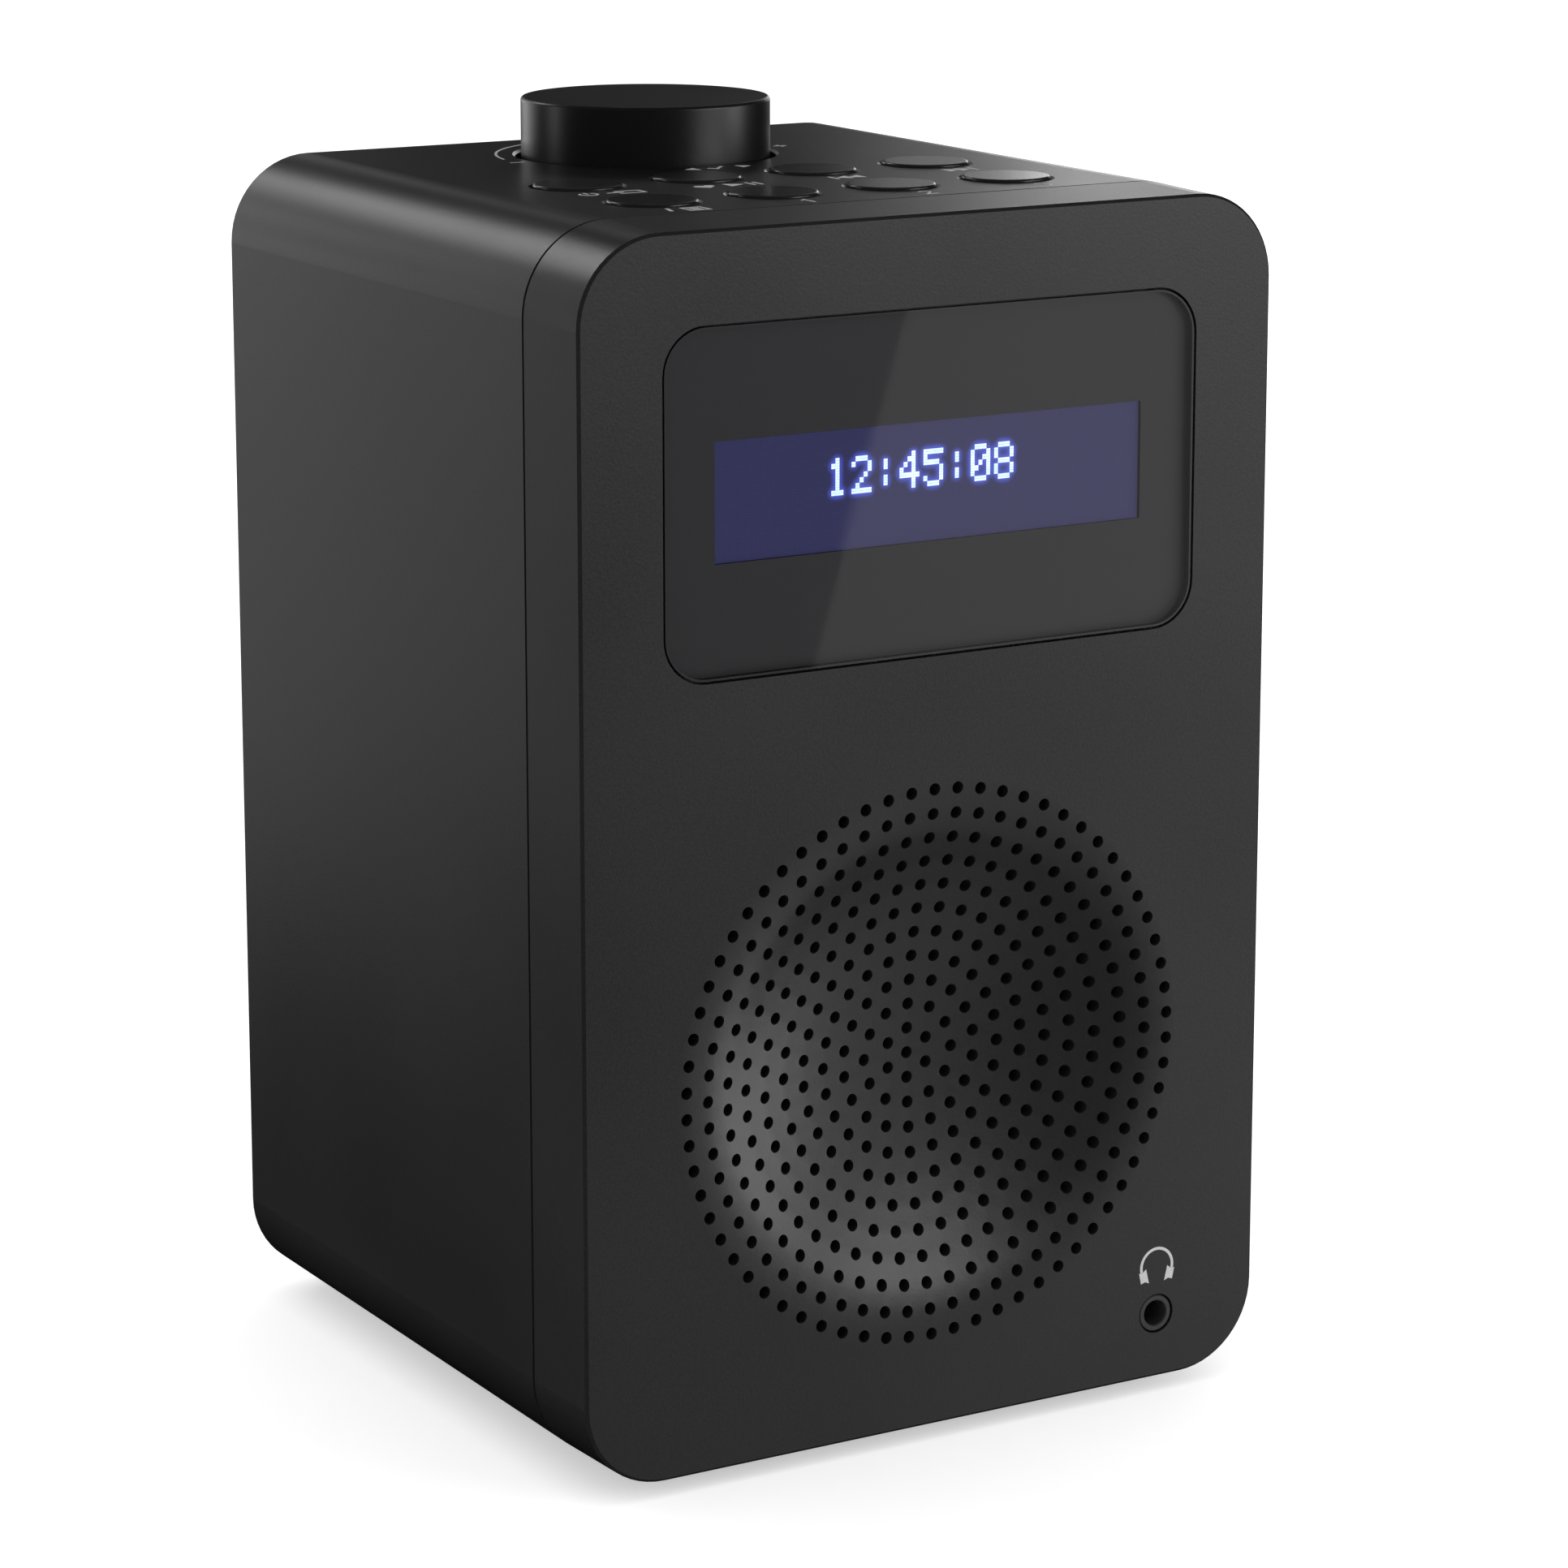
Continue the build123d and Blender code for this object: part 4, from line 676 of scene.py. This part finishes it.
# %% Print inside the window
PRINT_INSET = 0.08
PRINT_EDGE = 0.3            # width of the blackened edge of the lens
PRINT_CORNER = 6.1
PRINT_THICKNESS = 0.05
wide = (window_high.x - window_low.x) / MM - 2 * PRINT_INSET
tall = (window_high.z - window_low.z) / MM - 2 * PRINT_INSET
outer = rounded(wide, tall, PRINT_CORNER)
step = rounded(wide - 2 * PRINT_EDGE, tall - 2 * PRINT_EDGE, PRINT_CORNER - PRINT_EDGE)
inner = rounded(PICTURE_WIDTH, PICTURE_HEIGHT, 0.15)
print_front = window_high.y / MM - 2 * PRINT_THICKNESS
edge_front = window_low.y / MM + PRINT_INSET
profile = [(outer, edge_front), (step, edge_front), (step, print_front), (inner, print_front),
           (inner, print_front + PRINT_THICKNESS), (outer, print_front + PRINT_THICKNESS)]
around = np.stack([
    np.column_stack([line[:, 0] + window_x, np.full(len(line), depth), line[:, 1] + window_z])
    for line, depth in profile], axis=1)
black_print = grained("window_print", (0.013, 0.013, 0.0135), 0.6, 1800, 2e-6)
mask = put(
    "window_print", around * MM, grid_faces(len(outer), len(profile), True, True), black_print)
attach(mask, "cabinet")
print("print starts", round(print_front - FACE, 2), "mm behind the face")

# %% [markdown]
# The characters are five cells wide and seven high, one column apart. Each row of a figure is
# five marks, where x is a lit cell. Every lit cell is four small dots, which shows as a faint cross
# in it.

# %% Lit characters
FIGURES = {
    "0": ".xxx. x...x x..xx x.x.x xx..x x...x .xxx.",
    "1": "..x.. .xx.. ..x.. ..x.. ..x.. ..x.. .xxx.",
    "2": ".xxx. x...x ....x ...x. ..x.. .x... xxxxx",
    "4": "...x. ..xx. .x.x. x..x. xxxxx ...x. ...x.",
    "5": "xxxxx x.... xxxx. ....x ....x x...x .xxx.",
    "8": ".xxx. x...x x...x .xxx. x...x x...x .xxx.",
    ":": "..... ..x.. ..x.. ..... ..x.. ..x.. .....",
}
SHOWN = "12:45:08"
SHOWN_LEFT, SHOWN_UP = 1.1, 1.75    # the text's middle, from the window's
CELL = (DOT_PITCH[0] * 2, DOT_PITCH[1] * 2)
rows = np.array([[list(row) for row in FIGURES[figure].split()] for figure in SHOWN]) == "x"
figure_no, row_no, column_no = np.nonzero(rows)
across = (figure_no * 6 + column_no - len(SHOWN) * 3 + 0.5) * CELL[0] + window_x - SHOWN_LEFT
upwards = (3 - row_no) * CELL[1] + window_z + SHOWN_UP
quarter = np.array([(-1, -1), (1, -1), (1, 1), (-1, 1)]) / 4 * CELL
dots = (np.column_stack([across, upwards])[:, None] + quarter).reshape(-1, 2)
print(len(across), "lit cells, so", len(dots), "small dots")

# %% Dots as solids
DOT_GAP = 0.035
DOT_DEPTH = 0.04
DOT_AHEAD = 0.05            # the dots stand this far in front of the panel
half_dot = (np.array(DOT_PITCH) - DOT_GAP) / 2
signs = np.array([(-1, -1), (1, -1), (1, 1), (-1, 1)])
square = dots[:, None] + signs * half_dot
layers = []
for depth in (screen_front - DOT_AHEAD, screen_front - DOT_AHEAD - DOT_DEPTH):
    layers.append(np.dstack([square[..., 0], np.full(square.shape[:2], depth), square[..., 1]]))
cubes = np.concatenate(layers, axis=1)
first = np.arange(len(dots))[:, None, None] * 8
cube_faces = np.array([
    (4, 5, 6, 7), (3, 2, 1, 0), (0, 1, 5, 4), (1, 2, 6, 5), (2, 3, 7, 6), (3, 0, 4, 7)])
lit, lit_tree, lit_shader = start_finish(
    "lit_dots", Base_Color=grey(0.02), Emission_Strength=1.5, Roughness=0.5)
hot = ramp(lit_tree, speckle(lit_tree, 900), (0.6, 0.83, 1, 1), (0.78, 0.93, 1, 1))
lit_tree.links.new(hot, lit_shader.inputs["Emission Color"])
figures = put("lit_figures", cubes * MM, (cube_faces + first).reshape(-1, 4), lit)
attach(figures, "cabinet")
print("figures", SHOWN, "made of", len(cube_faces) * len(dots), "faces")

# %% [markdown]
# The field behind the figures is one thin slab. Its glow is worked out once for every point of
# its front: the sum over the lit cells of a bell curve of the distance, squeezed into nought to
# one by dividing it by one plus itself. It is stored as an attribute that the finish reads.

# %% Glowing field
GLOW_RADIUS = 0.42
FIELD_OVER = 1.2            # how much wider and higher the field is than the opening
FIELD_AHEAD, FIELD_THICKNESS = 0.03, 0.02
columns, rows_up = 400, 98
field_x = np.linspace(-0.5, 0.5, columns) * (PICTURE_WIDTH + FIELD_OVER)
field_z = np.linspace(-0.5, 0.5, rows_up) * (PICTURE_HEIGHT + FIELD_OVER)
flat_x, flat_z = np.meshgrid(field_x + window_x, field_z + window_z, indexing="ij")
away = (flat_x[..., None] - across) ** 2 + (flat_z[..., None] - upwards) ** 2
glow = np.exp(-away / (2 * GLOW_RADIUS ** 2)).sum(-1)
glow = glow / (1 + glow)
flat_y = np.full(flat_x.shape, screen_front - FIELD_AHEAD)
field_points = np.stack([flat_x, flat_y, flat_z], axis=-1)
field = put("glowing_field", field_points * MM, grid_faces(columns, rows_up), smooth=True)
store = field.data.attributes.new("glow", "FLOAT", "POINT")
store.data.foreach_set("value", glow.astype(np.float32).ravel())
wall = field.modifiers.new("thickness", "SOLIDIFY")
wall.thickness = FIELD_THICKNESS * MM
wall.offset = -1
print("glow runs from", round(float(glow.min()), 3), "to", round(float(glow.max()), 3))

# %% Field finish
def lattice_line(tree, place, axis, pitch):
    """One near the edge of each cell along an axis, nought in its middle: the place over the
    pitch, its fraction, and that fraction's distance from a half."""
    along = add(tree, "SeparateXYZ", {0: place}).outputs[axis]
    cells = add(tree, "Math", {0: along, 1: pitch * MM}, operation="DIVIDE").outputs[0]
    part_of = add(tree, "Math", {0: cells}, operation="FRACT").outputs[0]
    off = add(tree, "Math", {0: part_of, 1: 0.5}, operation="SUBTRACT").outputs[0]
    far = add(tree, "Math", {0: off}, operation="ABSOLUTE").outputs[0]
    return add(tree, "MapRange", {
        "Value": far, "From Min": 0.34, "From Max": 0.48}).outputs["Result"]


field_finish, tree, shader = start_finish(
    "glowing_field", Base_Color=(0.012, 0.012, 0.03, 1), Roughness=0.5, Emission_Strength=1.0,
    Specular_IOR_Level=0.1)
spot = object_place(tree)
lines = add(tree, "Math", {
    0: lattice_line(tree, spot, 0, DOT_PITCH[0]), 1: lattice_line(tree, spot, 2, DOT_PITCH[1]),
}, operation="MAXIMUM").outputs[0]
unlit = ramp(tree, lines, (0.030, 0.030, 0.092, 1), (0.019, 0.019, 0.058, 1), 0, 1)
glow_read = add(tree, "Attribute", attribute_name="glow").outputs["Fac"]
halo = ramp(tree, glow_read, (0, 0, 0, 1), (0.10, 0.15, 1.0, 1), 0.03, 0.9)
tree.links.new(mix_colours(tree, 1.0, unlit, halo, "ADD"), shader.inputs["Emission Color"])
field.data.materials.append(field_finish)
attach(field, "cabinet")
print("field finished, lattice", DOT_PITCH, "mm")

# %% [markdown]
# ## Floor and lights
#
# A dark satin object is drawn by what it reflects, so its lights are panels placed where each
# surface looks. The floor is wide pale paper with a faint glow of its own, like a light table, and
# a white sky lights it evenly, which leaves only a soft shadow under the radio. Floor and sky are
# kept out of reflections, as black cards do in a studio.

# %% Floor
FLOOR_REACH = 14.0
way = np.radians(np.arange(0, 360, 5))
reach = np.concatenate([np.linspace(0.02, 1.0, 6), [2.0, 4.0, 8.0, FLOOR_REACH]])
disc = np.stack([
    np.cos(way)[:, None] * reach, np.sin(way)[:, None] * reach,
    np.full((len(way), len(reach)), cad_low.z)], axis=-1)
disc_faces = grid_faces(len(way), len(reach), close_u=True)[:, ::-1].tolist()
disc_faces.append([i * len(reach) for i in range(len(way))])
paper = grained("floor_paper", (0.8, 0.8, 0.8), 0.9, 300, 1e-5, tint=0.01,
                Emission_Color=grey(1), Emission_Strength=0.45)
floor = put("floor", disc, disc_faces, paper, smooth=True)
floor.visible_glossy = False
floor.visible_shadow = False
print("floor at", round(cad_low.z, 4), "out to", FLOOR_REACH, "m")

# %% Sky
world = bpy.data.worlds.new("studio")
bpy.context.scene.world = world
world.use_nodes = True
world.node_tree.nodes["Background"].inputs["Color"].default_value = grey(1)
world.node_tree.nodes["Background"].inputs["Strength"].default_value = 0.95
world.cycles_visibility.glossy = False
bpy.context.scene.view_settings.view_transform = "Standard"
print("sky ready")

# %% [markdown]
# A mirror surface turns the view about its normal, so the panels stand where those turned views
# go. Ahead and to the right are those for the face, its window, the dish and the right of the knob.
# Behind and to the right are those for the top, where a narrow one ends just beyond the nearer
# buttons and so lights only the right-hand ones. Behind and above is the rounded edge's, behind on
# the left are the side's, and the knob's left glint comes from a strip on the left.

# %% Lights
RADIO_HEART = (0, 0, 0.09)


def light_panel(name, place, width, height, radiance, look=RADIO_HEART, lean=0.0):
    """A soft rectangular light that faces look. radiance is how bright a reflection of it
    is: power is radiance times area times pi. lean turns it in its own plane, in degrees."""
    lamp = bpy.data.lights.new(name, "AREA")
    lamp.shape = "RECTANGLE"
    lamp.size, lamp.size_y = width, height
    lamp.energy = radiance * width * height * math.pi
    made = bpy.data.objects.new(name, lamp)
    bpy.context.scene.collection.objects.link(made)
    made.location = place
    towards = (Vector(look) - Vector(place)).to_track_quat("-Z", "Y")
    made.rotation_mode = "QUATERNION"
    made.rotation_quaternion = towards @ Quaternion((0, 0, 1), math.radians(lean))
    made.visible_camera = False


light_panel("face_panel", (0.617, -0.496, 0.026), 0.70, 1.0, 0.43, (0.617, 0, 0.026), -17)
light_panel("high_face_panel", (0.55, -0.85, 0.30), 0.50, 0.30, 4.0)
light_panel("dish_panel", (0.66, -0.36, 0.0), 0.26, 0.50, 3.1)
light_panel("top_panel", (0.93, 0.84, 0.30), 0.70, 0.50, 0.34)
light_panel("button_strip", (0.86, 0.96, 0.28), 0.30, 0.40, 1.9)
light_panel("left_top_panel", (0.25, 1.30, 0.30), 0.50, 0.50, 0.42)
light_panel("knob_top_panel", (0.60, 0.90, 0.75), 0.70, 0.30, 0.35)
light_panel("edge_panel", (-0.35, 1.35, 1.0), 0.70, 0.42, 3.1)
light_panel("side_panel", (-0.45, 1.35, 0.30), 0.40, 0.50, 0.95)
light_panel("back_side_panel", (-0.15, 1.45, 0.25), 0.40, 0.50, 2.4)
light_panel("low_side_panel", (-0.45, 1.20, -0.05), 0.40, 0.40, 0.70)
light_panel("knob_strip", (-0.80, 0.50, 0.05), 0.14, 0.90, 2.3)
print("twelve panels placed")
